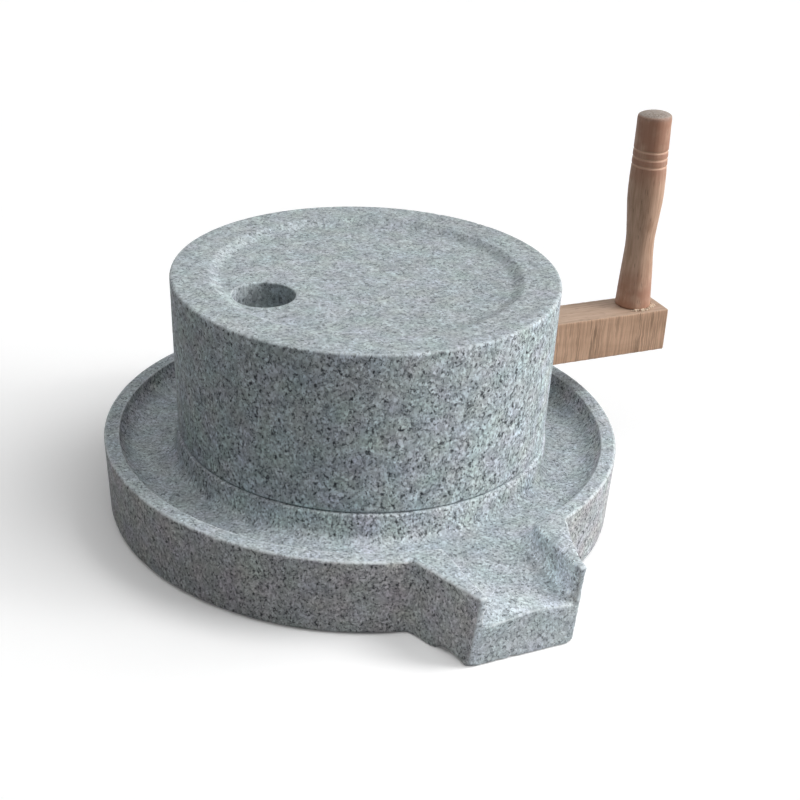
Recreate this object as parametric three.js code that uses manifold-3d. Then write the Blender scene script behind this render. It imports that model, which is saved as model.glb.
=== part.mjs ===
// Stone hand mill: a granite tray with its spout and the fixed grinding bed carved from one block,
// a granite runner that turns on a loose steel pin, and a wooden crank wedged into the runner's side.
// Millimetres, +Z up. The origin lies on the mill's axis, on the underside of the tray.
import * as THREE from "three";
import { mergeVertices } from "three/addons/utils/BufferGeometryUtils.js";
import Module from "manifold-3d";

const wasm = await Module();
wasm.setup();

// Runner, the upper stone, which narrows a little towards its foot
const RUNNER_RADIUS = 125.8;
const RUNNER_TAPER = 2.3;
const RUNNER_HEIGHT = 106.8;
const RECESS_RADIUS = 101.5;
const RECESS_FLOOR_RADIUS = 94;
const RECESS_DEPTH = 3.6;
const FEED_HOLE_RADIUS = 19.75;
const FEED_HOLE_DISTANCE = 73;
const FEED_HOLE_FROM_ARM_DEG = -172.7;
const CHAMBER_DEPTH = 2.5;

// Bed and tray, the lower stone
const BED_HEIGHT = 54.9;
const BED_LEDGE = 1;
const BED_SKIRT_LEAN = 1;
const BED_SKIRT_FILLET = 6;
const TRAY_RIM_RADIUS = 172;
const TRAY_FOOT_RADIUS = 170;
const TRAY_RIM_HEIGHT = 52.9;
const TRAY_RIM_WIDTH = 10;
const TROUGH_DEPTH = 16;
const STONE_EDGE_BREAK = 1;
const FOOT_EDGE_BREAK = 2.5;

// Spout, which runs out of the tray along -Y. Its end is hewn out of square: at the rim the left corner
// stands further out, at the foot the right one, and on the left the face leans back towards its foot.
const SPOUT_REACH = 212;
const SPOUT_SKEW = 4;
const SPOUT_ROOT_WIDTH = 107;
const SPOUT_TIP_WIDTH = 72.8;
const SPOUT_SIDE_OFFSET = 6.3;
const SPOUT_FOOT_REACH = 208.5;
const SPOUT_FOOT_SKEW = -4;
const SPOUT_FOOT_WIDTH = 68.6;
const SPOUT_FOOT_OFFSET = 3.7;
const CHANNEL_WIDTH = 63.6;
const CHANNEL_FILLET = 9;
const CHANNEL_FALL_LEFT = 2;
const CHANNEL_FALL_RIGHT = 6.5;
const LIP_LENGTH = 13;
const LIP_DROP_LEFT = 7;
const LIP_DROP_RIGHT = 3;
const LIP_START_FILLET = 5;
const LIP_FILLET = 2;

// Dressing of the two grinding faces: harps of parallel furrows, steep on one side and feathered on the other
const HARP_COUNT = 8;
const DRAFT_RADIUS = 14;
const EYE_RADIUS = 27;
const FURROW_PITCH = 13;
const FURROW_WIDTH = 5;
const FURROW_DEPTH = 2.2;
const FURROW_END_WIDTH = 3.2;
const FURROW_END_DEPTH = 0.8;
const FURROW_LAND = 6;
const FURROW_LEAST_LENGTH = 14;
const FACE_MARGIN = 5;

// Pin and its two sleeves
const PIN_RADIUS = 8;
const PIN_STAND = 38;
const PIN_EDGE_BREAK = 1.5;
const SLEEVE_WALL = 3.7;
const SLEEVE_SET_BACK = 1;
const BED_SOCKET_DEPTH = 30;
const PIN_HEADROOM = 4;

// Crank
const ARM_REST_DEG = -4.3;
const ARM_WIDTH = 30;
const ARM_HEIGHT = 31.2;
const ARM_TOP_HEIGHT = 56.9;
const ARM_PAST_GRIP = 20.1;
const ARM_EDGE_BREAK = 0.8;
const MORTISE_DEPTH = 62;
const WEDGE_THICK_END = 4.6;
const WEDGE_THIN_END = 1.9;
const WEDGE_WIDTH = 24;
const WEDGE_STAND_OUT = 5;
const GRIP_DISTANCE = 206.9;
const GRIP_SIDE_OFFSET = 2;
const GRIP_HEIGHT = 139.8;
const GRIP_FOOT_RADIUS = 12.5;
const GRIP_WAIST_RADIUS = 9.9;
const GRIP_WAIST_HEIGHT = 47;
const GRIP_SWELL_RADIUS = 12.4;
const GRIP_SWELL_HEIGHT = 83;
const GRIP_TOP_RADIUS = 11.4;
const GRIP_END_ROUNDING = 4;
const GRIP_GROOVE_HEIGHTS = [103, 108.4, 113.6];
const GRIP_GROOVE_WIDTH = 1.6;
const GRIP_GROOVE_DEPTH = 0.7;
const TENON_RADIUS = 8;
const TENON_LENGTH = 22;

// Clearances
const RUNNING_GAP = 0.3;
const PIN_CLEARANCE = 0.3;
const SET_GAP = 0.3;
const CUT_OVERRUN = 2;

// Facet counts
const STONE_SIDES = 72;
const HOLE_SIDES = 36;
const PIN_SIDES = 24;
const GRIP_SIDES = 28;
const ARC_STEPS = 5;
const GRIP_RINGS = 22;
const GRIP_CURVE_STEPS = 120;

const FACE_LEVEL = BED_HEIGHT + RUNNING_GAP;
const RUNNER_FOOT_RADIUS = RUNNER_RADIUS - RUNNER_TAPER;
const BED_RADIUS = RUNNER_FOOT_RADIUS + BED_LEDGE;
const TROUGH_FLOOR = TRAY_RIM_HEIGHT - TROUGH_DEPTH;
const SLEEVE_BORE = PIN_RADIUS + PIN_CLEARANCE;
const SLEEVE_RADIUS = SLEEVE_BORE + SLEEVE_WALL;
const SOCKET_RADIUS = SLEEVE_RADIUS + SET_GAP;
const MORTISE_END = RUNNER_RADIUS - MORTISE_DEPTH;
const WEDGE_SLOT = WEDGE_THICK_END + WEDGE_THIN_END;
const ARM_BOTTOM = ARM_TOP_HEIGHT - ARM_HEIGHT;
const ARM_REACH = GRIP_DISTANCE + ARM_PAST_GRIP;
const CHAMBER_RADIUS = FEED_HOLE_DISTANCE + FEED_HOLE_RADIUS;
const RUNNER_SOCKET_DEPTH = PIN_STAND + PIN_HEADROOM;
const GRIP_HOLE_RADIUS = TENON_RADIUS + SET_GAP;
const MORTISE_ROOF = ARM_TOP_HEIGHT + SET_GAP;
const MORTISE_FLOOR = ARM_BOTTOM - WEDGE_SLOT - 3 * SET_GAP;
const RIM_INNER_RADIUS = TRAY_RIM_RADIUS - TRAY_RIM_WIDTH;
const TROUGH_FLOOR_RADIUS = RIM_INNER_RADIUS - TROUGH_DEPTH;

const degrees = THREE.MathUtils.degToRad;

// A closed geometry as a solid that can be cut and joined.
function solidOf(geometry) {
  const bare = new THREE.BufferGeometry();
  bare.setAttribute("position", geometry.getAttribute("position"));
  bare.setIndex(geometry.getIndex());
  const merged = mergeVertices(bare);
  return new wasm.Manifold(
    new wasm.Mesh({
      numProp: 3,
      vertProperties: new Float32Array(merged.getAttribute("position").array),
      triVerts: new Uint32Array(merged.getIndex().array),
    }),
  );
}

// A solid as a geometry again.
function geometryOf(solid) {
  const made = solid.getMesh();
  const geometry = new THREE.BufferGeometry();
  geometry.setAttribute("position", new THREE.BufferAttribute(made.vertProperties, 3));
  geometry.setIndex(new THREE.BufferAttribute(made.triVerts, 1));
  return geometry;
}

function cutAll(solid, cutters) {
  return cutters.reduce((left, cutter) => left.subtract(cutter), solid);
}

// A profile of [radius, height] points turned about Z. It runs upwards on the outside.
function turned(profile, sides) {
  const points = profile.map(([radius, height]) => new THREE.Vector2(radius, height));
  return new THREE.LatheGeometry(points, sides).rotateX(Math.PI / 2);
}

function cylinder(radius, bottom, top, sides) {
  return turned([[0, bottom], [radius, bottom], [radius, top], [0, top]], sides);
}

// Points of an arc in the profile plane, from one angle to another, in degrees.
function arc(centreRadius, centreHeight, radius, fromDeg, toDeg, steps) {
  return Array.from({ length: steps + 1 }, (unused, step) => {
    const angle = degrees(fromDeg + ((toDeg - fromDeg) * step) / steps);
    return [centreRadius + radius * Math.cos(angle), centreHeight + radius * Math.sin(angle)];
  });
}

function stoneMaterial(colour) {
  return new THREE.MeshStandardMaterial({ color: colour, roughness: 0.75, metalness: 0 });
}

function woodMaterial(colour) {
  return new THREE.MeshStandardMaterial({ color: colour, roughness: 0.6, metalness: 0 });
}

const graniteMaterial = stoneMaterial(0xa9b0b0);
const armMaterial = woodMaterial(0xb08d76);
const gripMaterial = woodMaterial(0x94705c);
const wedgeMaterial = woodMaterial(0xc2a283);
const steelMaterial = new THREE.MeshStandardMaterial({ color: 0xb8bcbf, roughness: 0.35, metalness: 1 });
const sleeveMaterial = new THREE.MeshStandardMaterial({ color: 0xe4e2da, roughness: 0.5, metalness: 0 });

// A solid between outlines with the same count of points, each convex and counterclockwise
// as seen from the last outline.
function loft(outlines) {
  const count = outlines[0].length;
  const last = (outlines.length - 1) * count;
  const index = [];
  for (let corner = 0; corner < last; corner += 1) {
    const next = corner % count === count - 1 ? corner + 1 - count : corner + 1;
    index.push(corner, next, next + count, corner, next + count, corner + count);
  }
  for (let corner = 1; corner < count - 1; corner += 1) {
    index.push(0, corner + 1, corner);
    index.push(last, last + corner, last + corner + 1);
  }
  const geometry = new THREE.BufferGeometry();
  geometry.setAttribute("position", new THREE.Float32BufferAttribute(outlines.flat(2), 3));
  geometry.setIndex(index);
  return geometry;
}

// A furrow cutter along +X from the origin. Its steep wall is the plane y = 0,
// its floor feathers out towards +Y, and it opens upwards past the face at z = 0.
function furrowCutter(length, startWidth, startDepth, endWidth, endDepth) {
  const section = (x, width, depth) => [
    [x, 0, -depth],
    [x, width * (1 + CUT_OVERRUN / depth), CUT_OVERRUN],
    [x, 0, CUT_OVERRUN],
  ];
  return loft([section(0, startWidth, startDepth), section(length, endWidth, endDepth)]);
}

// One harp's furrows, each as its distance from the mill's axis and its two ends along +X.
// The first runs past the eye, and the others start a land's width off the next harp's first furrow.
function harpFurrows(faceRadius) {
  const turn = (2 * Math.PI) / HARP_COUNT;
  const outerRadius = faceRadius - FACE_MARGIN;
  const furrows = [];
  for (let offset = DRAFT_RADIUS; offset < outerRadius; offset += FURROW_PITCH) {
    const alongNext = (offset - DRAFT_RADIUS * Math.cos(turn)) / Math.sin(turn);
    const onNext = alongNext * Math.cos(turn) - DRAFT_RADIUS * Math.sin(turn);
    const pastEye = Math.sqrt(Math.max(EYE_RADIUS ** 2 - offset ** 2, 0));
    const start = offset > DRAFT_RADIUS ? Math.max(onNext + FURROW_LAND, pastEye) : pastEye;
    const end = Math.sqrt(outerRadius ** 2 - offset ** 2);
    if (end - start > FURROW_LEAST_LENGTH) furrows.push({ offset, start, end });
  }
  return furrows;
}

// All furrow cutters of a face that looks up from z = 0. hollowAt gives the depth of the hollow
// in that face at a radius, and the furrows start that much deeper.
function dressing(faceRadius, hollowAt) {
  const cutters = [];
  for (const { offset, start, end } of harpFurrows(faceRadius)) {
    const depth = FURROW_DEPTH + hollowAt(Math.hypot(start, offset));
    const width = (FURROW_WIDTH * depth) / FURROW_DEPTH;
    for (let harp = 0; harp < HARP_COUNT; harp += 1) {
      const cutter = furrowCutter(end - start, width, depth, FURROW_END_WIDTH, FURROW_END_DEPTH);
      cutter.translate(start, offset, 0);
      cutter.rotateZ((harp * 2 * Math.PI) / HARP_COUNT);
      cutters.push(cutter);
    }
  }
  return cutters;
}

// The lower stone before its trough is cut: a tapered disc with the bed's stub standing on it.
function baseBlankProfile() {
  const stubRadius = BED_RADIUS + CUT_OVERRUN;
  return [
    [0, 0],
    [TRAY_FOOT_RADIUS - FOOT_EDGE_BREAK, 0],
    [TRAY_FOOT_RADIUS, FOOT_EDGE_BREAK],
    [TRAY_RIM_RADIUS, TRAY_RIM_HEIGHT - STONE_EDGE_BREAK],
    [TRAY_RIM_RADIUS - STONE_EDGE_BREAK, TRAY_RIM_HEIGHT],
    [stubRadius, TRAY_RIM_HEIGHT],
    [stubRadius, BED_HEIGHT],
    [0, BED_HEIGHT],
  ];
}

// The trough between bed and rim: down over the bed's broken edge and its leaning skirt,
// along the floor, and up the hollow quarter round inside the rim.
function troughProfile() {
  const skirtFoot = BED_RADIUS + BED_SKIRT_LEAN + BED_SKIRT_FILLET;
  const top = BED_HEIGHT + CUT_OVERRUN;
  const mouth = [BED_RADIUS - STONE_EDGE_BREAK - CUT_OVERRUN, top];
  return [
    mouth,
    [BED_RADIUS, BED_HEIGHT - STONE_EDGE_BREAK],
    ...arc(skirtFoot, TROUGH_FLOOR + BED_SKIRT_FILLET, BED_SKIRT_FILLET, 180, 270, ARC_STEPS),
    ...arc(TROUGH_FLOOR_RADIUS, TRAY_RIM_HEIGHT, TROUGH_DEPTH, -90, 0, ARC_STEPS),
    [RIM_INNER_RADIUS, top],
    mouth,
  ];
}

// The spout's block in plan at one height: it narrows from the tray to the tip.
// Its sides run on into the tray.
function spoutOutline(height, reach, skew, tipWidth, tipOffset, inset) {
  const root = RIM_INNER_RADIUS - TRAY_RIM_WIDTH;
  const taper = (SPOUT_ROOT_WIDTH - SPOUT_TIP_WIDTH) / (SPOUT_REACH - RIM_INNER_RADIUS);
  const halfRoot = (SPOUT_ROOT_WIDTH + taper * TRAY_RIM_WIDTH) / 2 - inset;
  const halfTip = tipWidth / 2 - inset;
  return [
    [SPOUT_SIDE_OFFSET - halfRoot, -root, height],
    [tipOffset - halfTip, inset - reach - skew / 2, height],
    [tipOffset + halfTip, inset - reach + skew / 2, height],
    [SPOUT_SIDE_OFFSET + halfRoot, -root, height],
  ];
}

function spoutBlock() {
  const foot = (height, inset) =>
    spoutOutline(height, SPOUT_FOOT_REACH, SPOUT_FOOT_SKEW, SPOUT_FOOT_WIDTH, SPOUT_FOOT_OFFSET, inset);
  const rim = (height, inset) =>
    spoutOutline(height, SPOUT_REACH, SPOUT_SKEW, SPOUT_TIP_WIDTH, SPOUT_SIDE_OFFSET, inset);
  return loft([
    foot(0, STONE_EDGE_BREAK),
    foot(STONE_EDGE_BREAK, 0),
    rim(TRAY_RIM_HEIGHT - STONE_EDGE_BREAK, 0),
    rim(TRAY_RIM_HEIGHT, STONE_EDGE_BREAK),
  ]);
}

// The channel that drains the trough: round-cornered, falling more on its right, then dropping over the lip,
// where its corners sharpen.
function channelCutter() {
  const half = CHANNEL_WIDTH / 2;
  const top = BED_HEIGHT + CUT_OVERRUN;
  const start = Math.sqrt(TROUGH_FLOOR_RADIUS ** 2 - (half + SPOUT_SIDE_OFFSET) ** 2);
  const end = SPOUT_REACH + SPOUT_SKEW / 2 + CUT_OVERRUN;
  const lipShare = (end - SPOUT_REACH + LIP_LENGTH) / LIP_LENGTH;
  const lipLeft = TROUGH_FLOOR - CHANNEL_FALL_LEFT;
  const lipRight = TROUGH_FLOOR - CHANNEL_FALL_RIGHT;
  const outline = (distance, leftFloor, rightFloor, fillet) =>
    [
      ...arc(-half + fillet, leftFloor + fillet, fillet, 180, 270, ARC_STEPS),
      ...arc(half - fillet, rightFloor + fillet, fillet, 270, 360, ARC_STEPS),
      [half, top],
      [-half, top],
    ].map(([x, z]) => [x + SPOUT_SIDE_OFFSET, -distance, z]);
  return loft([
    outline(start, TROUGH_FLOOR, TROUGH_FLOOR, CHANNEL_FILLET),
    outline(SPOUT_REACH - LIP_LENGTH, lipLeft, lipRight, LIP_START_FILLET),
    outline(end, lipLeft - LIP_DROP_LEFT * lipShare, lipRight - LIP_DROP_RIGHT * lipShare, LIP_FILLET),
  ]);
}

function baseStone() {
  const blank = solidOf(turned(baseBlankProfile(), STONE_SIDES)).add(solidOf(spoutBlock()));
  const trough = turned(troughProfile(), STONE_SIDES);
  const socket = cylinder(SOCKET_RADIUS, BED_HEIGHT - BED_SOCKET_DEPTH, BED_HEIGHT + CUT_OVERRUN, HOLE_SIDES);
  const furrows = dressing(RUNNER_FOOT_RADIUS, () => 0).map((cutter) => cutter.translate(0, 0, BED_HEIGHT));
  return geometryOf(cutAll(blank, [trough, channelCutter(), socket, ...furrows].map(solidOf)));
}

// The runner's outline: the hollow eye and the chamber under it, the grinding band, the side
// and the recess in the top.
function runnerProfile() {
  return [
    [0, CHAMBER_DEPTH],
    [EYE_RADIUS, CHAMBER_DEPTH],
    [CHAMBER_RADIUS, 0],
    [RUNNER_FOOT_RADIUS - STONE_EDGE_BREAK, 0],
    [RUNNER_FOOT_RADIUS, STONE_EDGE_BREAK],
    [RUNNER_RADIUS, RUNNER_HEIGHT - STONE_EDGE_BREAK],
    [RUNNER_RADIUS - STONE_EDGE_BREAK, RUNNER_HEIGHT],
    [RECESS_RADIUS, RUNNER_HEIGHT],
    [RECESS_FLOOR_RADIUS, RUNNER_HEIGHT - RECESS_DEPTH],
    [0, RUNNER_HEIGHT - RECESS_DEPTH],
  ];
}

function chamberDepthAt(radius) {
  const share = (CHAMBER_RADIUS - radius) / (CHAMBER_RADIUS - EYE_RADIUS);
  return CHAMBER_DEPTH * THREE.MathUtils.clamp(share, 0, 1);
}

function feedHole() {
  const azimuth = degrees(FEED_HOLE_FROM_ARM_DEG);
  const hole = cylinder(FEED_HOLE_RADIUS, -CUT_OVERRUN, RUNNER_HEIGHT + CUT_OVERRUN, HOLE_SIDES);
  return hole.translate(FEED_HOLE_DISTANCE * Math.cos(azimuth), FEED_HOLE_DISTANCE * Math.sin(azimuth), 0);
}

// The mortise for the crank, cut in from the side along +X, with room for the wedges under the arm.
function mortise() {
  const length = MORTISE_DEPTH + CUT_OVERRUN;
  const height = MORTISE_ROOF - MORTISE_FLOOR;
  const box = new THREE.BoxGeometry(length, ARM_WIDTH + 2 * SET_GAP, height);
  return box.translate(MORTISE_END + length / 2, 0, MORTISE_FLOOR + height / 2);
}

function runnerStone() {
  const socket = cylinder(SOCKET_RADIUS, -CUT_OVERRUN, RUNNER_SOCKET_DEPTH, HOLE_SIDES);
  const furrows = dressing(RUNNER_FOOT_RADIUS, chamberDepthAt).map((cutter) => cutter.rotateX(Math.PI));
  const cutters = [feedHole(), mortise(), socket, ...furrows].map(solidOf);
  return geometryOf(cutAll(solidOf(turned(runnerProfile(), STONE_SIDES)), cutters));
}

function sleeve(bottom, top) {
  const start = [SLEEVE_BORE, bottom];
  const profile = [start, [SLEEVE_RADIUS, bottom], [SLEEVE_RADIUS, top], [SLEEVE_BORE, top], start];
  return turned(profile, PIN_SIDES);
}

function spindlePin() {
  const bottom = BED_HEIGHT - BED_SOCKET_DEPTH + SET_GAP;
  const top = BED_HEIGHT + PIN_STAND;
  return turned(
    [
      [0, bottom],
      [PIN_RADIUS - PIN_EDGE_BREAK, bottom],
      [PIN_RADIUS, bottom + PIN_EDGE_BREAK],
      [PIN_RADIUS, top - PIN_EDGE_BREAK],
      [PIN_RADIUS - PIN_EDGE_BREAK, top],
      [0, top],
    ],
    PIN_SIDES,
  );
}

// The arm: a sawn beam with broken edges that runs from the bottom of the mortise out past the grip,
// with the blind hole for the grip's tenon bored from above.
function crankArm() {
  const start = MORTISE_END + SET_GAP;
  const half = ARM_WIDTH / 2;
  const section = new THREE.Shape([
    new THREE.Vector2(-half, -ARM_HEIGHT),
    new THREE.Vector2(half, -ARM_HEIGHT),
    new THREE.Vector2(half, 0),
    new THREE.Vector2(-half, 0),
  ]);
  const beam = new THREE.ExtrudeGeometry(section, {
    depth: ARM_REACH - start - 2 * ARM_EDGE_BREAK,
    bevelThickness: ARM_EDGE_BREAK,
    bevelSize: ARM_EDGE_BREAK,
    bevelOffset: -ARM_EDGE_BREAK,
    bevelSegments: 1,
  });
  beam.rotateX(Math.PI / 2).rotateZ(Math.PI / 2);
  beam.translate(start + ARM_EDGE_BREAK, 0, ARM_TOP_HEIGHT);
  const hole = cylinder(
    GRIP_HOLE_RADIUS,
    ARM_TOP_HEIGHT - TENON_LENGTH - SET_GAP,
    ARM_TOP_HEIGHT + CUT_OVERRUN,
    HOLE_SIDES,
  );
  hole.translate(GRIP_DISTANCE, GRIP_SIDE_OFFSET, 0);
  return geometryOf(solidOf(beam).subtract(solidOf(hole)));
}

// A wedge of the folding pair from one distance to another. lowAt and highAt give its two faces.
function wedge(from, to, lowAt, highAt) {
  const half = WEDGE_WIDTH / 2;
  const outline = (x) => [
    [x, -half, lowAt(x)],
    [x, half, lowAt(x)],
    [x, half, highAt(x)],
    [x, -half, highAt(x)],
  ];
  return loft([outline(from), outline(to)]);
}

// The sloping plane between the two wedges: high at the mortise's end, low at its mouth.
function wedgeSeam(x) {
  const share = (x - MORTISE_END) / MORTISE_DEPTH;
  return MORTISE_FLOOR + SET_GAP + THREE.MathUtils.lerp(WEDGE_THICK_END, WEDGE_THIN_END, share);
}

function wedgeSet() {
  const floor = MORTISE_FLOOR + SET_GAP;
  return wedge(MORTISE_END + SET_GAP, RUNNER_RADIUS - WEDGE_STAND_OUT, () => floor, wedgeSeam);
}

function wedgeDriven() {
  const under = ARM_BOTTOM - SET_GAP;
  const start = MORTISE_END + WEDGE_STAND_OUT;
  return wedge(start, RUNNER_RADIUS + WEDGE_STAND_OUT, (x) => wedgeSeam(x) + SET_GAP, () => under);
}

// The grip's radius at a height over its foot, from a smooth curve through foot, waist, swell and top.
function gripRadiusAt(height) {
  const foot = new THREE.Vector2(0, GRIP_FOOT_RADIUS);
  const waist = new THREE.Vector2(GRIP_WAIST_HEIGHT, GRIP_WAIST_RADIUS);
  const swell = new THREE.Vector2(GRIP_SWELL_HEIGHT, GRIP_SWELL_RADIUS);
  const top = new THREE.Vector2(GRIP_HEIGHT, GRIP_TOP_RADIUS);
  const middle = (low, high) => low.clone().add(high).divideScalar(2);
  const curve = new THREE.SplineCurve([
    foot,
    middle(foot, waist),
    waist,
    middle(waist, swell),
    swell,
    middle(swell, top),
    top,
  ]);
  const points = curve.getPoints(GRIP_CURVE_STEPS);
  const after = Math.max(points.findIndex((point) => point.x >= height), 1);
  const [low, high] = [points[after - 1], points[after]];
  return THREE.MathUtils.mapLinear(height, low.x, high.x, low.y, high.y);
}

// The turned grip: a tenon, a foot that rests on the arm, the hand-shaped stem with three grooves,
// and a rounded end.
function crankGrip() {
  const shoulder = GRIP_HEIGHT - GRIP_END_ROUNDING;
  const heights = Array.from({ length: GRIP_RINGS }, (unused, ring) => (shoulder * ring) / (GRIP_RINGS - 1));
  const grooveAt = (height) =>
    GRIP_GROOVE_HEIGHTS.some((groove) => Math.abs(height - groove) < GRIP_GROOVE_WIDTH);
  const stem = heights.filter((height) => !grooveAt(height)).map((height) => [gripRadiusAt(height), height]);
  for (const groove of GRIP_GROOVE_HEIGHTS) {
    const radius = gripRadiusAt(groove);
    stem.push([radius, groove - GRIP_GROOVE_WIDTH / 2]);
    stem.push([radius - GRIP_GROOVE_DEPTH, groove]);
    stem.push([radius, groove + GRIP_GROOVE_WIDTH / 2]);
  }
  stem.sort((lower, upper) => lower[1] - upper[1]);
  const endRadius = gripRadiusAt(shoulder) - GRIP_END_ROUNDING;
  return turned(
    [
      [0, -TENON_LENGTH],
      [TENON_RADIUS, -TENON_LENGTH],
      [TENON_RADIUS, 0],
      ...stem,
      ...arc(endRadius, shoulder, GRIP_END_ROUNDING, 0, 90, ARC_STEPS).slice(1),
      [0, GRIP_HEIGHT],
    ],
    GRIP_SIDES,
  );
}

function piece(name, geometry, material) {
  const mesh = new THREE.Mesh(geometry, material);
  mesh.name = name;
  return mesh;
}

const base = new THREE.Group();
base.add(piece("base_stone", baseStone(), graniteMaterial));
const bedSleeve = sleeve(BED_HEIGHT - BED_SOCKET_DEPTH + SET_GAP, BED_HEIGHT - SLEEVE_SET_BACK);
base.add(piece("bed_sleeve", bedSleeve, sleeveMaterial));

const spindle = new THREE.Group();
spindle.add(piece("spindle_pin", spindlePin(), steelMaterial));

const runner = new THREE.Group();
runner.position.z = FACE_LEVEL;
runner.rotation.z = degrees(ARM_REST_DEG);
runner.add(piece("runner_stone", runnerStone(), graniteMaterial));
const runnerSleeve = sleeve(CHAMBER_DEPTH + SLEEVE_SET_BACK, RUNNER_SOCKET_DEPTH - SET_GAP);
runner.add(piece("runner_sleeve", runnerSleeve, sleeveMaterial));
runner.add(piece("crank_arm", crankArm(), armMaterial));
runner.add(piece("wedge_set", wedgeSet(), wedgeMaterial));
runner.add(piece("wedge_driven", wedgeDriven(), wedgeMaterial));
const grip = piece("crank_grip", crankGrip(), gripMaterial);
grip.position.set(GRIP_DISTANCE, GRIP_SIDE_OFFSET, ARM_TOP_HEIGHT + SET_GAP);
runner.add(grip);

const mill = new THREE.Group();
mill.add(base, spindle, runner);

export default mill;
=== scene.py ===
"""Looks of a stone hand mill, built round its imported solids.

The two stones are cut from the solids and weathered by a Geometry Nodes tree. The wooden pieces are
sawn and turned anew from the solids' own outlines, and every surface has a procedural finish.
Places are in metres, in the frame of the solids. Finishes count in millimetres.
"""

import logging
import math
from collections.abc import Iterable, Mapping, Sequence
from dataclasses import dataclass, field
from enum import Enum
from functools import cached_property, partial, reduce

import bmesh
import bpy
import numpy as np
from mathutils import Matrix, Vector

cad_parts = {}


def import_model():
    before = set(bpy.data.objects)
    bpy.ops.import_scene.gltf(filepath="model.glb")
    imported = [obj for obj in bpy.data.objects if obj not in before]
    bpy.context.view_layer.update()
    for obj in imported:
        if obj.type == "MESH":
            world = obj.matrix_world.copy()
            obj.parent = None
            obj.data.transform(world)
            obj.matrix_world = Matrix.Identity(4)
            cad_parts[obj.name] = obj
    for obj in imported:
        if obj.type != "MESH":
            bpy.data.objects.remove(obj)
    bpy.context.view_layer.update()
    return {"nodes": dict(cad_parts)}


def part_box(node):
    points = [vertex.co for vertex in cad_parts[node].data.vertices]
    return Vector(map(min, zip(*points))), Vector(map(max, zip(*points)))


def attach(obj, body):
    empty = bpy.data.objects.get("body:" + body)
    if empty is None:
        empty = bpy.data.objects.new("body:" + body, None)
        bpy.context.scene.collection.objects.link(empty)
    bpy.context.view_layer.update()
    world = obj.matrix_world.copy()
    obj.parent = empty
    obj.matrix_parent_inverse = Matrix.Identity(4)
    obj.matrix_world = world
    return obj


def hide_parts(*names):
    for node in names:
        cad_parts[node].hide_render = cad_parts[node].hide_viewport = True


Triple = tuple[float, float, float]
Ramp = tuple[float, ...]
Socket = bpy.types.NodeSocket
Node = bpy.types.Node
Value = Socket | float | int | str | bool | tuple

LOG = logging.getLogger("stone_mill")

MM = 0.001
WHITE: Triple = (1.0, 1.0, 1.0)
LEVEL: Triple = (1.0, 1.0, 0.0)
ARM_AZIMUTH = math.radians(-4.3)
SAME_POINT = 0.001 * MM


class Grain(Enum):
    """The turn that lays a piece of wood's grain along the pattern's first axis."""

    LYING = (0.0, 0.0, 0.0)
    UPRIGHT = (0.0, math.pi / 2, 0.0)


class Mark(Enum):
    """Names of the values that a mesh carries for its finish."""

    ARRIS = "arris"
    SOFT = "soft"
    SAWN = "sawn"
    SCORE = "score"
    GROOVE = "groove"


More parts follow.
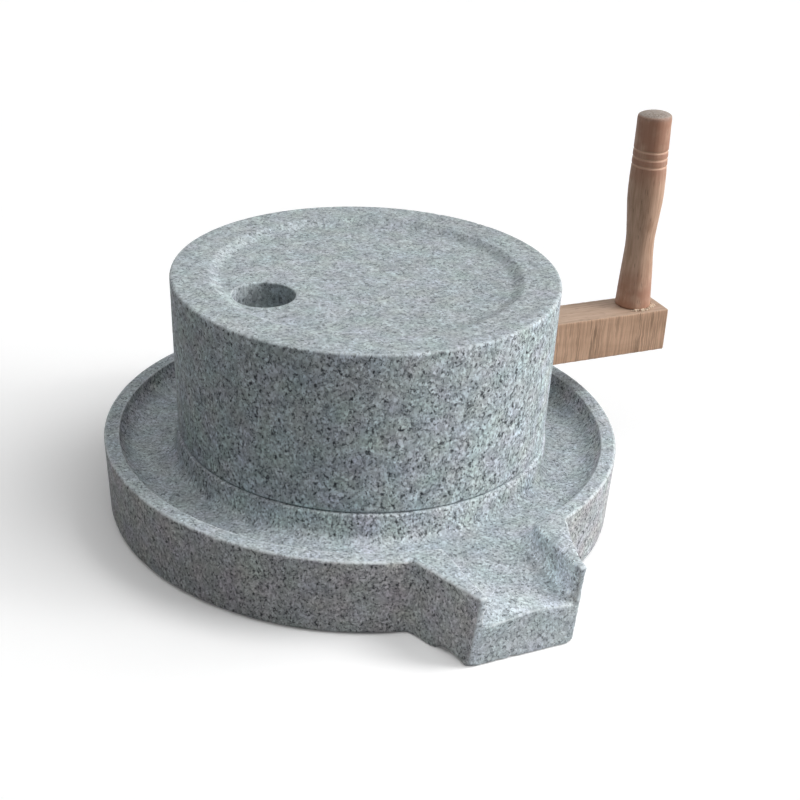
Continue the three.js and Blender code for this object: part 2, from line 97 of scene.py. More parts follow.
class Graph:
    """A node tree that is filled node by node. Values that are sockets are linked, others are set."""

    def __init__(self, tree: bpy.types.NodeTree) -> None:
        """Wraps a tree.

        Args:
            tree: The shader or geometry tree to fill.
        """
        self.tree = tree

    def add(self, kind: str, values: Mapping[str, Value] | None = None, **settings: object) -> Node:
        """Adds a node.

        Args:
            kind: The node's type.
            values: What goes into its inputs, by their names.
            settings: Properties of the node, set before its inputs.

        Returns:
            The new node.
        """
        node = self.tree.nodes.new(kind)
        for name, setting in settings.items():
            setattr(node, name, setting)
        for name, value in (values or {}).items():
            self.feed(next(put for put in node.inputs if put.name == name and put.enabled), value)
        return node

    def feed(self, socket: Socket, value: Value) -> None:
        """Links or sets one input.

        Args:
            socket: The input.
            value: A socket to link, or a plain value.
        """
        if isinstance(value, bpy.types.NodeSocket):
            self.tree.links.new(value, socket)
        elif socket.type == "RGBA" and len(value) == 3:
            socket.default_value = (*value, 1.0)
        else:
            socket.default_value = value

    def out(self, kind: str, values: Mapping[str, Value] | None = None, **settings: object) -> Socket:
        """Adds a node and gives its first output in use."""
        return next(out for out in self.add(kind, values, **settings).outputs if out.enabled)

    def maths(self, operation: str, *values: Value, clamp: bool = False) -> Socket:
        """Does arithmetic on numbers.

        Args:
            operation: The Math node's operation.
            values: Its operands in order.
            clamp: Whether the result stays between 0 and 1.

        Returns:
            The result.
        """
        node = self.add("ShaderNodeMath", operation=operation, use_clamp=clamp)
        for socket, value in zip(node.inputs, values):
            self.feed(socket, value)
        return node.outputs[0]

    def product(self, *values: Value) -> Socket:
        """Multiplies numbers."""
        return reduce(partial(self.maths, "MULTIPLY"), values)

    def total(self, *values: Value) -> Socket:
        """Adds numbers up."""
        return reduce(partial(self.maths, "ADD"), values)

    def most(self, *values: Value) -> Socket:
        """Gives the greatest of some numbers."""
        return reduce(partial(self.maths, "MAXIMUM"), values)

    def inverse(self, value: Value) -> Socket:
        """Gives one minus a number."""
        return self.maths("SUBTRACT", 1.0, value)

    def vector(self, operation: str, *values: Value, scale: Value = 1.0) -> Socket:
        """Does arithmetic on vectors.

        Args:
            operation: The Vector Math node's operation.
            values: Its operands in order.
            scale: The factor of a SCALE operation.

        Returns:
            The result, which is a number for products and lengths.
        """
        node = self.add("ShaderNodeVectorMath", operation=operation)
        for socket, value in zip(node.inputs, values):
            self.feed(socket, value)
        if operation == "SCALE":
            self.feed(node.inputs["Scale"], scale)
        return node.outputs["Value" if operation in {"DOT_PRODUCT", "LENGTH"} else "Vector"]

    def spread(self, value: Value, low: float, high: float, start: Value = 0.0, end: Value = 1.0) -> Socket:
        """Maps one range smoothly on another and holds the ends.

        Args:
            value: The number to map.
            low: Where the first range starts.
            high: Where it ends.
            start: The result at low.
            end: The result at high.

        Returns:
            The mapped number.
        """
        values = {"Value": value, "From Min": low, "From Max": high, "To Min": start, "To Max": end}
        return self.out("ShaderNodeMapRange", values, interpolation_type="SMOOTHSTEP")

    def mix(self, share: Value, low: Value, high: Value, kind: str = "RGBA", way: str = "MIX") -> Socket:
        """Mixes two colours, vectors or numbers.

        Args:
            share: How much of the second one.
            low: The first one.
            high: The second one.
            kind: RGBA, VECTOR or FLOAT.
            way: How colours are mixed.

        Returns:
            The mixture.
        """
        values = {"Factor": share, "A": low, "B": high}
        return self.out("ShaderNodeMix", values, data_type=kind, blend_type=way)

    def tinted(self, colour: Value, tint: Value) -> Socket:
        """Multiplies a colour by a tint."""
        return self.mix(1.0, colour, tint, way="MULTIPLY")

    def grey(self, value: Value) -> Socket:
        """Puts one number in all three parts of a vector."""
        return self.out("ShaderNodeCombineXYZ", {"X": value, "Y": value, "Z": value})

    def upward(self, direction: Socket) -> Socket:
        """Gives the upright part of a vector."""
        return self.add("ShaderNodeSeparateXYZ", {"Vector": direction}).outputs["Z"]

    def drawn(self, place: Socket, scale: Triple) -> Socket:
        """Scales the coordinates of a pattern, which draws it out where the scale is below one."""
        return self.out("ShaderNodeMapping", {"Vector": place, "Scale": scale})

    def cloud(self, place: Value, pitch: float, detail: float = 2.0, rough: float = 0.5) -> Node:
        """Adds smooth noise.

        Args:
            place: The coordinates.
            pitch: The size of one patch, in the units of the coordinates.
            detail: How many finer layers are added.
            rough: How strong the finer layers are.

        Returns:
            The node, with a number and a colour as outputs.
        """
        values = {"Vector": place, "Scale": 1 / pitch, "Detail": detail, "Roughness": rough}
        return self.add("ShaderNodeTexNoise", values)

    def noise(self, place: Value, pitch: float, **layers: float) -> Socket:
        """Adds smooth noise as a number about a half."""
        return self.cloud(place, pitch, **layers).outputs[0]

    def sway(self, place: Value, pitch: float, reach: float, **layers: float) -> Socket:
        """Adds smooth noise as a vector about zero.

        Args:
            place: The coordinates.
            pitch: The size of one patch, in the units of the coordinates.
            reach: How far each part of the vector goes at most, from end to end.
            layers: The detail and the roughness of the noise.

        Returns:
            The vector.
        """
        colour = self.cloud(place, pitch, **layers).outputs["Color"]
        return self.vector("SCALE", self.vector("SUBTRACT", colour, (0.5, 0.5, 0.5)), scale=reach)

    def cells(self, place: Value, pitch: float) -> tuple[Socket, Socket, Socket]:
        """Adds a pattern of random cells.

        Args:
            place: The coordinates.
            pitch: The distance between cells, in the units of the coordinates.

        Returns:
            The distance to the cell's centre in cell sizes, and two random numbers of the cell.
        """
        node = self.add("ShaderNodeTexVoronoi", {"Vector": place, "Scale": 1 / pitch})
        lots = self.add("ShaderNodeSeparateColor", {"Color": node.outputs["Color"]}).outputs
        return node.outputs["Distance"], lots["Red"], lots["Blue"]

    def seen(self) -> Socket:
        """Tells rays that are seen, straight or in gloss or glass, from rays that only light."""
        rays = self.add("ShaderNodeLightPath").outputs
        return self.most(*(rays[f"Is {kind} Ray"] for kind in ("Camera", "Glossy", "Transmission")))


class Coat(Graph):
    """The tree of a new material, with what a finish reads from its piece."""

    def __init__(self, name: str, azimuth: float = 0.0, centre: Triple = (0.0, 0.0, 0.0)) -> None:
        """Makes the material.

        Args:
            name: Its name.
            azimuth: The direction of a piece that lies askew, in radians.
            centre: The point where the pattern starts, in metres.
        """
        self.material = bpy.data.materials.new(name)
        self.material.use_nodes = True
        super().__init__(self.material.node_tree)
        self.azimuth = azimuth
        self.centre = centre

    @cached_property
    def facing(self) -> Socket:
        """Tells where the surface faces, seen from the piece itself."""
        return self.add("ShaderNodeTexCoord").outputs["Normal"]

    @cached_property
    def place(self) -> Socket:
        """Gives the piece's own coordinates in millimetres, centred and turned straight.

        Returns:
            The coordinates.
        """
        own = self.add("ShaderNodeTexCoord").outputs["Object"]
        moved = self.vector("SUBTRACT", own, self.centre)
        values = {"Vector": moved, "Rotation": (0.0, 0.0, -self.azimuth), "Scale": (1 / MM,) * 3}
        return self.out("ShaderNodeMapping", values)

    def towards(self, direction: Triple, ramp: Ramp) -> Socket:
        """Tells where the surface faces a direction, from 0 to 1."""
        return self.spread(self.vector("DOT_PRODUCT", self.facing, direction), *ramp)

    def carried(self, mark: Mark) -> Socket:
        """Reads a number that the mesh carries."""
        return self.add("ShaderNodeAttribute", attribute_name=mark.value).outputs["Fac"]

    def relief(self, height: Socket, depth: float) -> Socket:
        """Gives the normals of a fine relief, as deep in millimetres as its height is at 1."""
        return self.out("ShaderNodeBump", {"Height": height, "Distance": depth * MM, "Strength": 1.0})

    def shade(self, values: Mapping[str, Value]) -> None:
        """Sets inputs of the material's shader, by their names."""
        for name, value in values.items():
            self.feed(self.tree.nodes["Principled BSDF"].inputs[name], value)


@dataclass(frozen=True)
class Finish:
    """What all finishes share.

    A field whose name ends in ramp says from where to where a pattern's value counts, and then what it
    becomes at those ends where that isn't 0 and 1.

    Attributes:
        name: The material's name.
        slot: The record's material slot. It is not used.
        azimuth: The direction of a piece that lies askew, in radians.
        centre: The point where the pattern starts, in metres.
        sharp_deg: The angle from which an edge stays sharp, in degrees.
    """

    name: str
    slot: str
    azimuth: float = 0.0
    centre: Triple = (0.0, 0.0, 0.0)
    sharp_deg: float = 50.0

    def material(self) -> bpy.types.Material:
        """Makes the material, once.

        Returns:
            The material.
        """
        if self.name not in bpy.data.materials:
            self.paint(Coat(self.name, self.azimuth, self.centre))
        return bpy.data.materials[self.name]

    def paint(self, coat: Coat) -> None:
        """Fills the material's tree.

        Args:
            coat: The tree.
        """
        raise NotImplementedError


@dataclass(frozen=True)
class Granite(Finish):
    """Pale speckled granite: feldspar and quartz crystals with dark, ragged mica flecks. In millimetres.

    Attributes:
        feldspar: The pale crystals.
        quartz: The glassy grey crystals.
        quartz_ramp: Which crystals are quartz.
        mica: The flecks.
        average: What the mixture looks like from afar.
        bruise: Crushed stone along an arris.
        painted_side_shade: Painted shade: a darker, warmer tint of what doesn't face up, against what does,
            for shade lit by warm bounce light.
        crystal: The size of a crystal.
        crystal_ramp: How dark and pale single crystals are.
        fray: The size of the frays that tear crystals and flecks.
        fleck: The size of a fleck.
        fleck_ramp: Where the flecks are.
        fleck_depth: How dark they are.
        core: The distance between the darkest parts of flecks.
        core_start: Where their pattern starts.
        core_ramp: Where those parts are.
        core_depth: How dark they are.
        scratch: The distance between fine dark needles.
        scratch_start: Where their pattern starts.
        scratch_ramp: How thin they are.
        scratch_depth: How dark they are.
        cut_start: Where the pattern starts that cuts them into pieces.
        cut_share: The size of those pieces, against the needles' distance.
        cut_ramp: Where a piece is left.
        patch: The size of a faintly tinted patch.
        patch_tint: How strong its tint is.
        cloud: The size of a broad cloud.
        cloud_ramp: How dark and pale broad clouds are.
        spot: The size of a small cloud.
        spot_ramp: Where small clouds start and end.
        mottling: How much lighter and darker they are.
        upright: How much the pattern is drawn out upwards.
        up_ramp: What faces up, where the stone is honed.
        honed_contrast: How strong the pattern is there.
        honed_relief: How strong the relief is there.
        left_ramp: What faces -X, where soft edges are rubbed smooth and the stone is painted paler as bounce
            light.
        painted_bounce_gain: How much paler that is.
        sawn_ramp: What faces -Y, where an end is sawn smooth.
        sawn_beyond: How far along -Y that end is at least.
        bore_place: The middle of a smooth bore.
        bore_radius: How far from there the stone is smooth.
        bore_fade: How far beyond it the smoothness fades.
        plain_within: The radius round the axis within which arrises are not whitened and sides get no painted
            shade.
        plain_fade: How far beyond it that fades.
        bruised: How far the arrises are whitened.
        arris_ramp: What counts as an arris.
        crumb: The size of a crushed spot on an arris.
        crumb_ramp: Where those spots are.
        grit: The size of the finest grains.
        pitting: How deep dark flecks lie, against the grains.
        relief_depth: How deep the whole relief is.
        rough_ramp: The roughness.
        shine: The strength of the gloss.
    """

    feldspar: Triple = (0.575, 0.645, 0.672)
    quartz: Triple = (0.385, 0.433, 0.455)
    quartz_ramp: Ramp = (0.4, 0.75)
    mica: Triple = (0.03, 0.034, 0.04)
    average: Triple = (0.372, 0.416, 0.432)
    bruise: Triple = (0.70, 0.75, 0.77)
    # Painted shade with warm bounce light on the sides.
    painted_side_shade: Triple = WHITE
    crystal: float = 1.7
    crystal_ramp: Ramp = (0.0, 1.0, 0.84, 1.16)
    fray: float = 1.4
    fleck: float = 1.9
    fleck_ramp: Ramp = (0.49, 0.38)
    fleck_depth: float = 0.40
    core: float = 2.6
    core_start: Triple = (7.0, 3.0, 5.0)
    core_ramp: Ramp = (0.41, 0.35)
    core_depth: float = 0.75
    scratch: float = 3.0
    scratch_start: Triple = (2.0, 9.0, 4.0)
    scratch_ramp: Ramp = (0.045, 0.012)
    scratch_depth: float = 0.65
    cut_start: Triple = (8.0, 1.0, 6.0)
    cut_share: float = 0.6
    cut_ramp: Ramp = (0.47, 0.54)
    patch: float = 14.0
    patch_tint: float = 0.14
    cloud: float = 26.0
    cloud_ramp: Ramp = (0.3, 0.7, 0.93, 1.06)
    spot: float = 6.5
    spot_ramp: Ramp = (0.35, 0.65)
    mottling: float = 0.06
    upright: float = 0.8
    up_ramp: Ramp = (0.5, 0.85)
    honed_contrast: float = 0.62
    honed_relief: float = 0.35
    left_ramp: Ramp = (0.2, 0.7)
    # Painted bounce light on the soft place's walls that face -X.
    painted_bounce_gain: float = 1.5
    sawn_ramp: Ramp = (0.7, 0.9)
    sawn_beyond: float = 1000.0
    bore_place: Triple = (0.0, 0.0, 0.0)
    bore_radius: float = 1.0
    bore_fade: float = 0.5
    plain_within: float = 0.0
    plain_fade: float = 6.0
    bruised: float = 0.35
    arris_ramp: Ramp = (0.3, 0.9)
    crumb: float = 5.0
    crumb_ramp: Ramp = (0.4, 0.62, 0.2, 1.0)
    grit: float = 1.1
    pitting: float = 0.35
    relief_depth: float = 0.13
    rough_ramp: Ramp = (0.3, 0.7, 0.58, 0.8)
    shine: float = 0.3

    def paint(self, coat: Coat) -> None:
        """Fills the material's tree.

        Args:
            coat: The tree.
        """
        place = coat.place
        tall = coat.drawn(place, (1.0, 1.0, self.upright))
        torn = coat.vector("ADD", tall, coat.sway(tall, self.fray, self.crystal, detail=3.0, rough=0.6))
        # Walls in the soft place that face -X: honed, and painted paler further down as bounce light.
        rubbed = coat.product(coat.carried(Mark.SOFT), coat.towards((-1.0, 0.0, 0.0), self.left_ramp))
        smooth = coat.most(rubbed, self.bored(coat), self.sawn_end(coat))
        honed = coat.most(coat.towards((0.0, 0.0, 1.0), self.up_ramp), smooth)
        off_axis = coat.vector("LENGTH", coat.vector("MULTIPLY", place, LEVEL))
        outer = coat.spread(off_axis, self.plain_within, self.plain_within + self.plain_fade)

        body = self.crystals(coat, torn)
        # Painted shade: sides that don't face up, out past plain_within, get a darker, warmer tint.
        side = coat.product(outer, coat.inverse(honed))
        body = coat.tinted(body, coat.mix(side, WHITE, self.painted_side_shade, kind="VECTOR"))
        dark = self.dark(coat, torn)
        body = coat.mix(dark, body, self.mica)
        body = coat.mix(coat.product(honed, 1 - self.honed_contrast), body, self.average)
        spots = coat.noise(place, self.spot, detail=2.0)
        mottle = coat.spread(spots, *self.spot_ramp, 1 - self.mottling, 1 + self.mottling)
        # Random mottling, and painted bounce light that makes those -X-facing walls paler.
        paler = coat.product(mottle, coat.spread(rubbed, 0.0, 1.0, 1.0, self.painted_bounce_gain))
        body = coat.tinted(body, coat.grey(paler))

        crumbs = coat.spread(coat.noise(place, self.crumb, detail=4.0, rough=0.6), *self.crumb_ramp)
        edge = coat.spread(coat.carried(Mark.ARRIS), *self.arris_ramp)
        grit = coat.noise(place, self.grit, detail=4.0, rough=0.6)
        pits = coat.maths("SUBTRACT", grit, coat.product(dark, self.pitting))
        rugged = coat.spread(honed, 0.0, 1.0, 1.0, self.honed_relief)
        coat.shade({
            "Base Color": coat.mix(coat.product(edge, crumbs, outer, self.bruised), body, self.bruise),
            "Normal": coat.relief(coat.product(pits, rugged), self.relief_depth),
            "Roughness": coat.spread(grit, *self.rough_ramp),
            "Specular IOR Level": self.shine,
        })

    def bored(self, coat: Coat) -> Socket:
        """Tells where the stone's smooth bore is.

        Args:
            coat: The tree.

        Returns:
            One in the bore, and nought away from it.
        """
        off_bore = coat.vector("MULTIPLY", coat.vector("SUBTRACT", coat.place, self.bore_place), LEVEL)
        faded = self.bore_radius + self.bore_fade
        return coat.spread(coat.vector("LENGTH", off_bore), faded, self.bore_radius)

    def sawn_end(self, coat: Coat) -> Socket:
        """Tells where the stone's sawn end is.

        Args:
            coat: The tree.

        Returns:
            One on the sawn end, and nought elsewhere.
        """
        ahead = (0.0, -1.0, 0.0)
        along = coat.vector("DOT_PRODUCT", coat.place, ahead)
        far_out = coat.maths("GREATER_THAN", along, self.sawn_beyond)
        return coat.product(coat.towards(ahead, self.sawn_ramp), far_out)

    def crystals(self, coat: Coat, place: Socket) -> Socket:
        """Mixes the pale crystals, in faintly tinted patches and broad clouds.

        Args:
            coat: The tree.
            place: The coordinates of the crystals.

        Returns:
            The colour.
        """
        _, kind, shade = coat.cells(place, self.crystal)
        body = coat.mix(coat.spread(kind, *self.quartz_ramp), self.feldspar, self.quartz)
        clouds = coat.spread(coat.noise(coat.place, self.cloud, detail=3.0), *self.cloud_ramp)
        body = coat.tinted(body, coat.grey(coat.product(coat.spread(shade, *self.crystal_ramp), clouds)))
        hue = coat.sway(coat.place, self.patch, self.patch_tint, detail=0.0)
        return coat.tinted(body, coat.vector("ADD", hue, WHITE))

    def dark(self, coat: Coat, place: Socket) -> Socket:
        """Draws the mica: soft flecks with dark cores, and fine needles cut into short pieces.

        Args:
            coat: The tree.
            place: The coordinates.

        Returns:
            How dark the mica is, from 0 to 1.
        """
        fleck = coat.spread(coat.noise(place, self.fleck, detail=2.0, rough=0.6), *self.fleck_ramp)
        cored = coat.vector("ADD", place, self.core_start)
        core = coat.spread(coat.noise(cored, self.core, detail=2.0, rough=0.6), *self.core_ramp)
        winding = coat.noise(coat.vector("ADD", place, self.scratch_start), self.scratch, detail=1.0)
        middle = coat.maths("ABSOLUTE", coat.maths("SUBTRACT", winding, 0.5))
        kept = coat.noise(coat.vector("ADD", place, self.cut_start), self.scratch * self.cut_share)
        needle = coat.product(coat.spread(middle, *self.scratch_ramp), coat.spread(kept, *self.cut_ramp))
        parts = ((fleck, self.fleck_depth), (core, self.core_depth), (needle, self.scratch_depth))
        return coat.maths("MINIMUM", coat.total(*(coat.product(*part) for part in parts)), 1.0)


@dataclass(frozen=True)
class Timber(Finish):
    """Wood with streaks, pores, saw marks and grooves. Sizes in millimetres.

    Attributes:
        pale: The wood between the streaks.
        deep: The wood in the streaks.
        pore: The inside of a pore.
        end_pale: The pale part of the end grain.
        end_deep: Its dark part.
        sawn_tint: The tint of the sawn sides, against the others.
        scored: The bottom of a saw's score.
        stain: The red stain of an upright piece.
        stain_from: How far from the middle the stain starts.
        stain_fade: How far from there it is full.
        stain_blotch: The size of a blotch in it.
        blotch_ramp: How strong it is from blotch to blotch.
        stain_depth: How strong it is in all.
        grain: How the grain lies.
        top: How far the upper end is above the centre.
        end_fade: How far down the end's grey reaches.
        end_depth: How strong it is there.
        end_ramp: What faces up, and is end grain.
        dust: The size of a spot on the end grain.
        dust_ramp: How pale those spots are.
        streak: The width of a streak.
        streak_draw: How many times longer than wide it is.
        streak_ramp: How dark the streaks are.
        streak_sawn: How much of them is left on a sawn side.
        broad: The width of a broad streak.
        broad_draw: How many times longer than wide it is.
        broad_ramp: How dark the broad streaks are.
        pore_pitch: The distance between pores.
        pore_draw: How many times longer than wide a pore is.
        pore_share: How many of them are open.
        pore_ramp: How wide a pore is.
        pore_depth: How dark it is.
        saw_pitch: The distance between fine saw lines.
        saw_bend: The size of a bend in those lines.
        saw_sway: How far the bends go.
        saw_draw: How the lines are drawn out across the sides.
        saw_ramp: Where the lines are.
        saw_group: The size of a group of lines.
        group_ramp: How strong the groups are.
        score_share: How strong the deep scores are.
        score_depth: How dark all saw lines are.
        groove_gain: How much paler than the wood a turned groove is.
        groove_depth: How strong that is.
        relief_depth: How deep the relief is.
        saw_relief: How deep saw lines are in it.
        rough_ramp: The roughness.
        shine: The strength of the gloss.
    """

    pale: Triple = (0.53, 0.38, 0.285)
    deep: Triple = (0.36, 0.25, 0.175)
    pore: Triple = (0.13, 0.08, 0.05)
    end_pale: Triple = (0.40, 0.35, 0.31)
    end_deep: Triple = (0.24, 0.19, 0.155)
    sawn_tint: Triple = (1.19, 1.06, 0.96)
    scored: Triple = (0.2, 0.122, 0.073)
    stain: Triple = (0.39, 0.185, 0.12)
    stain_from: float = 22.0
    stain_fade: float = 26.0
    stain_blotch: float = 11.0
    blotch_ramp: Ramp = (0.3, 0.62, 0.35, 1.0)
    stain_depth: float = 0.8
    grain: Grain = Grain.LYING
    top: float = 1000.0
    end_fade: float = 6.0
    end_depth: float = 0.9
    end_ramp: Ramp = (0.5, 0.95)
    dust: float = 1.3
    dust_ramp: Ramp = (0.3, 0.7)
    streak: float = 1.6
    streak_draw: float = 22.0
    streak_ramp: Ramp = (0.32, 0.7, 0.0, 0.6)
    streak_sawn: float = 0.1
    broad: float = 14.0
    broad_draw: float = 3.0
    broad_ramp: Ramp = (0.35, 0.7, 0.0, 0.5)
    pore_pitch: float = 0.75
    pore_draw: float = 9.0
    pore_share: float = 0.16
    pore_ramp: Ramp = (0.45, 0.2)
    pore_depth: float = 0.55
    saw_pitch: float = 1.1
    saw_bend: float = 6.0
    saw_sway: float = 2.0
    saw_draw: Triple = (1.0, 0.03, 0.05)
    saw_ramp: Ramp = (0.42, 0.62)
    saw_group: float = 9.0
    group_ramp: Ramp = (0.35, 0.65, 0.3, 1.0)
    score_share: float = 0.6
    score_depth: float = 0.8
    groove_gain: float = 1.25
    groove_depth: float = 0.95
    relief_depth: float = 0.08
    saw_relief: float = 0.8
    rough_ramp: Ramp = (0.3, 0.7, 0.49, 0.63)
    shine: float = 0.35

    def paint(self, coat: Coat) -> None:
        """Fills the material's tree.

        Args:
            coat: The tree.
        """
        lying = coat.out("ShaderNodeMapping", {"Vector": coat.place, "Rotation": self.grain.value})
        sawn = coat.carried(Mark.SAWN)
        streaks = coat.noise(self.along(coat, lying, self.streak_draw), self.streak, detail=4.0, rough=0.6)
        fine = coat.spread(streaks, *self.streak_ramp)
        fine = coat.product(fine, coat.spread(sawn, 0.0, 1.0, 1.0, self.streak_sawn))
        broad = coat.noise(self.along(coat, lying, self.broad_draw), self.broad, detail=3.0)
        share = coat.total(fine, coat.spread(broad, *self.broad_ramp))
        body = coat.mix(share, self.pale, self.deep)
        body = coat.tinted(body, coat.mix(sawn, WHITE, self.sawn_tint, kind="VECTOR"))

        distance, lot, _ = coat.cells(self.along(coat, lying, self.pore_draw), self.pore_pitch)
        opened = coat.maths("LESS_THAN", lot, self.pore_share)
        pores = coat.product(opened, coat.spread(distance, *self.pore_ramp), coat.inverse(sawn))
        body = coat.mix(coat.product(pores, self.pore_depth), body, self.pore)

        teeth = coat.product(self.saw_lines(coat), sawn)
        score = coat.most(coat.product(coat.carried(Mark.SCORE), self.score_share), teeth)
        body = coat.mix(coat.product(score, self.score_depth), body, self.scored)
        if self.grain is Grain.UPRIGHT:
            body = self.turned(coat, body)

        sunk = coat.total(pores, coat.product(teeth, self.saw_relief))
        coat.shade({
            "Base Color": body,
            "Normal": coat.relief(coat.maths("SUBTRACT", fine, sunk), self.relief_depth),
            "Roughness": coat.spread(streaks, *self.rough_ramp),
            "Specular IOR Level": self.shine,
        })

    @staticmethod
    def along(coat: Coat, place: Socket, ratio: float) -> Socket:
        """Draws a pattern out along the grain, which is the coordinates' first axis."""
        return coat.drawn(place, (1 / ratio, 1.0, 1.0))

    def saw_lines(self, coat: Coat) -> Socket:
        """Draws the fine, bent lines that a saw leaves across a piece.

        Args:
            coat: The tree.

        Returns:
            How deep the lines are, from 0 to 1.
        """
        bends = coat.sway(coat.place, self.saw_bend, self.saw_sway, detail=3.0)
        across = coat.drawn(coat.vector("ADD", coat.place, bends), self.saw_draw)
        lines = coat.spread(coat.noise(across, self.saw_pitch, detail=2.0, rough=0.6), *self.saw_ramp)
        groups = coat.spread(coat.noise(across, self.saw_group, detail=2.0), *self.group_ramp)
        return coat.product(lines, groups)

    def turned(self, coat: Coat, body: Socket) -> Socket:
        """Stains an upright turned piece, whitens its grooves and greys its end.

        Args:
            coat: The tree.
            body: The colour of the wood.

        Returns:
            The colour.
        """
        height = coat.upward(coat.place)
        off_middle = coat.maths("ABSOLUTE", height)
        stained = coat.spread(off_middle, self.stain_from, self.stain_from + self.stain_fade)
        blotch = coat.spread(coat.noise(coat.place, self.stain_blotch, detail=3.0), *self.blotch_ramp)
        body = coat.mix(coat.product(stained, blotch, self.stain_depth), body, self.stain)
        groove = coat.product(coat.carried(Mark.GROOVE), self.groove_depth)
        body = coat.mix(groove, body, tuple(self.groove_gain * part for part in self.pale))
        near_end = coat.spread(height, self.top - self.end_fade, self.top, 0.0, self.end_depth)
        ending = coat.most(near_end, coat.towards((0.0, 0.0, 1.0), self.end_ramp))
        dust = coat.spread(coat.noise(coat.place, self.dust, detail=3.0), *self.dust_ramp)
        return coat.mix(ending, body, coat.mix(dust, self.end_deep, self.end_pale))


@dataclass(frozen=True)
class Steel(Finish):
    """Turned bright steel with fine rings round the upright. Sizes in millimetres.

    Attributes:
        bright: The clean steel.
        dull: The smeared steel.
        smear: The size of a smear.
        smear_ramp: Where the steel is smeared.
        ring: The distance between the rings.
        ring_draw: How the rings are drawn out round the piece.
        ring_depth: How deep they are.
        rough_ramp: The roughness.
    """

    bright: Triple = (0.56, 0.57, 0.58)
    dull: Triple = (0.40, 0.41, 0.42)
    smear: float = 9.0
    smear_ramp: Ramp = (0.4, 0.7)
    ring: float = 0.35
    ring_draw: Triple = (0.02, 0.02, 1.0)
    ring_depth: float = 0.02
    rough_ramp: Ramp = (0.3, 0.7, 0.26, 0.42)

    def paint(self, coat: Coat) -> None:
        """Fills the material's tree.

        Args:
            coat: The tree.
        """
        smear = coat.noise(coat.place, self.smear, detail=4.0)
        rings = coat.noise(coat.drawn(coat.place, self.ring_draw), self.ring)
        coat.shade({
            "Base Color": coat.mix(coat.spread(smear, *self.smear_ramp), self.bright, self.dull),
            "Metallic": 1.0,
            "Normal": coat.relief(rings, self.ring_depth),
            "Roughness": coat.spread(smear, *self.rough_ramp),
        })


@dataclass(frozen=True)
class Cloudy(Finish):
    """A plain matter with a hazy cover: machined nylon under stone dust, or dried glue. In millimetres.

    Attributes:
        clean: The bare matter.
        hazy: Its cover.
        patch: The size of a patch of the cover.
        cover_ramp: Where the cover lies.
        relief_depth: How thick it is.
        rough_ramp: The roughness.
    """

    clean: Triple = (0.74, 0.72, 0.66)
    hazy: Triple = (0.50, 0.50, 0.48)
    patch: float = 4.0
    cover_ramp: Ramp = (0.4, 0.75)
    relief_depth: float = 0.08
    rough_ramp: Ramp = (0.3, 0.7, 0.38, 0.6)

    def paint(self, coat: Coat) -> None:
        """Fills the material's tree.

        Args:
            coat: The tree.
        """
        cover = coat.noise(coat.place, self.patch, detail=4.0)
        coat.shade({
            "Base Color": coat.mix(coat.spread(cover, *self.cover_ramp), self.clean, self.hazy),
            "Normal": coat.relief(cover, self.relief_depth),
            "Roughness": coat.spread(cover, *self.rough_ramp),
        })


class GeometryTree(Graph):
    """A Geometry Nodes tree with named inputs. It ends in Realize Instances and Set Material."""

    def __init__(self, name: str, inputs: Mapping[str, str]) -> None:
        """Starts an empty tree.

        Args:
            name: The tree's name.
            inputs: The kind of each named input, as the end of its socket type.
        """
        super().__init__(bpy.data.node_groups.new(name, "GeometryNodeTree"))
        face = self.tree.interface
        face.new_socket("Geometry", in_out="OUTPUT", socket_type="NodeSocketGeometry")
        for label, kind in {"Geometry": "Geometry", **inputs, "Material": "Material"}.items():
            face.new_socket(label, in_out="INPUT", socket_type="NodeSocket" + kind)
        self.start = self.tree.nodes.new("NodeGroupInput").outputs
        self.position = self.out("GeometryNodeInputPosition")
        self.normal = self.out("GeometryNodeInputNormal")

    def blurred(self, steps: Value) -> Socket:
        """Gives the surface's position, smoothed along the surface."""
        values = {"Value": self.position, "Iterations": steps}
        return self.out("GeometryNodeBlurAttribute", values, data_type="FLOAT_VECTOR")

    def along_normal(self, place: Socket, distance: Socket) -> Socket:
        """Moves a place along the surface's normal."""
        return self.vector("ADD", place, self.vector("SCALE", self.normal, scale=distance))

    def spoke(self, place: Socket, spot: str) -> Socket:
        """Gives a place as seen from the middle of a spot, counted in the spot's radii.

        Args:
            place: The place.
            spot: The start of the names of the inputs that say where and how large the spot is.

        Returns:
            The vector, which is one long on the spot's edge.
        """
        off_middle = self.vector("SUBTRACT", place, self.start[f"{spot} Centre"])
        return self.vector("DIVIDE", off_middle, self.start[f"{spot} Radii"])

    def chance(self, least: Value, most: Value) -> Socket:
        """Gives each point its own random vector, drawn with the tree's seed."""
        values = {"Min": least, "Max": most, "Seed": self.start["Seed"]}
        return self.out("FunctionNodeRandomValue", values, data_type="FLOAT_VECTOR")

    def end(self, moved: Socket | None, marks: Mapping[Mark, Socket], geometry: Socket | None = None) -> None:
        """Closes the tree.

        Args:
            moved: The new position, or nothing.
            marks: What is kept for the finish.
            geometry: What the tree has made, or nothing if it only changes what comes in.
        """
        result = geometry or self.start["Geometry"]
        for mark, value in marks.items():
            values = {"Geometry": result, "Name": mark.value, "Value": value}
            settings = {"data_type": "FLOAT", "domain": "POINT"}
            result = self.out("GeometryNodeStoreNamedAttribute", values, **settings)
        if moved:
            result = self.out("GeometryNodeSetPosition", {"Geometry": result, "Position": moved})
        result = self.out("GeometryNodeRealizeInstances", {"Geometry": result})
        values = {"Geometry": result, "Material": self.start["Material"]}
        self.add("NodeGroupOutput", {"Geometry": self.out("GeometryNodeSetMaterial", values)})


WEAR_INPUTS = (
    dict.fromkeys(("Chip Steps", "Soft Steps"), "Int")
    | dict.fromkeys(("Chip Length", "Chip Share", "Ground Height", "Ground Share", "Unevenness"), "Float")
    | dict.fromkeys(("Spall Centre", "Spall Radii", "Soft Centre", "Soft Radii"), "Vector")
)


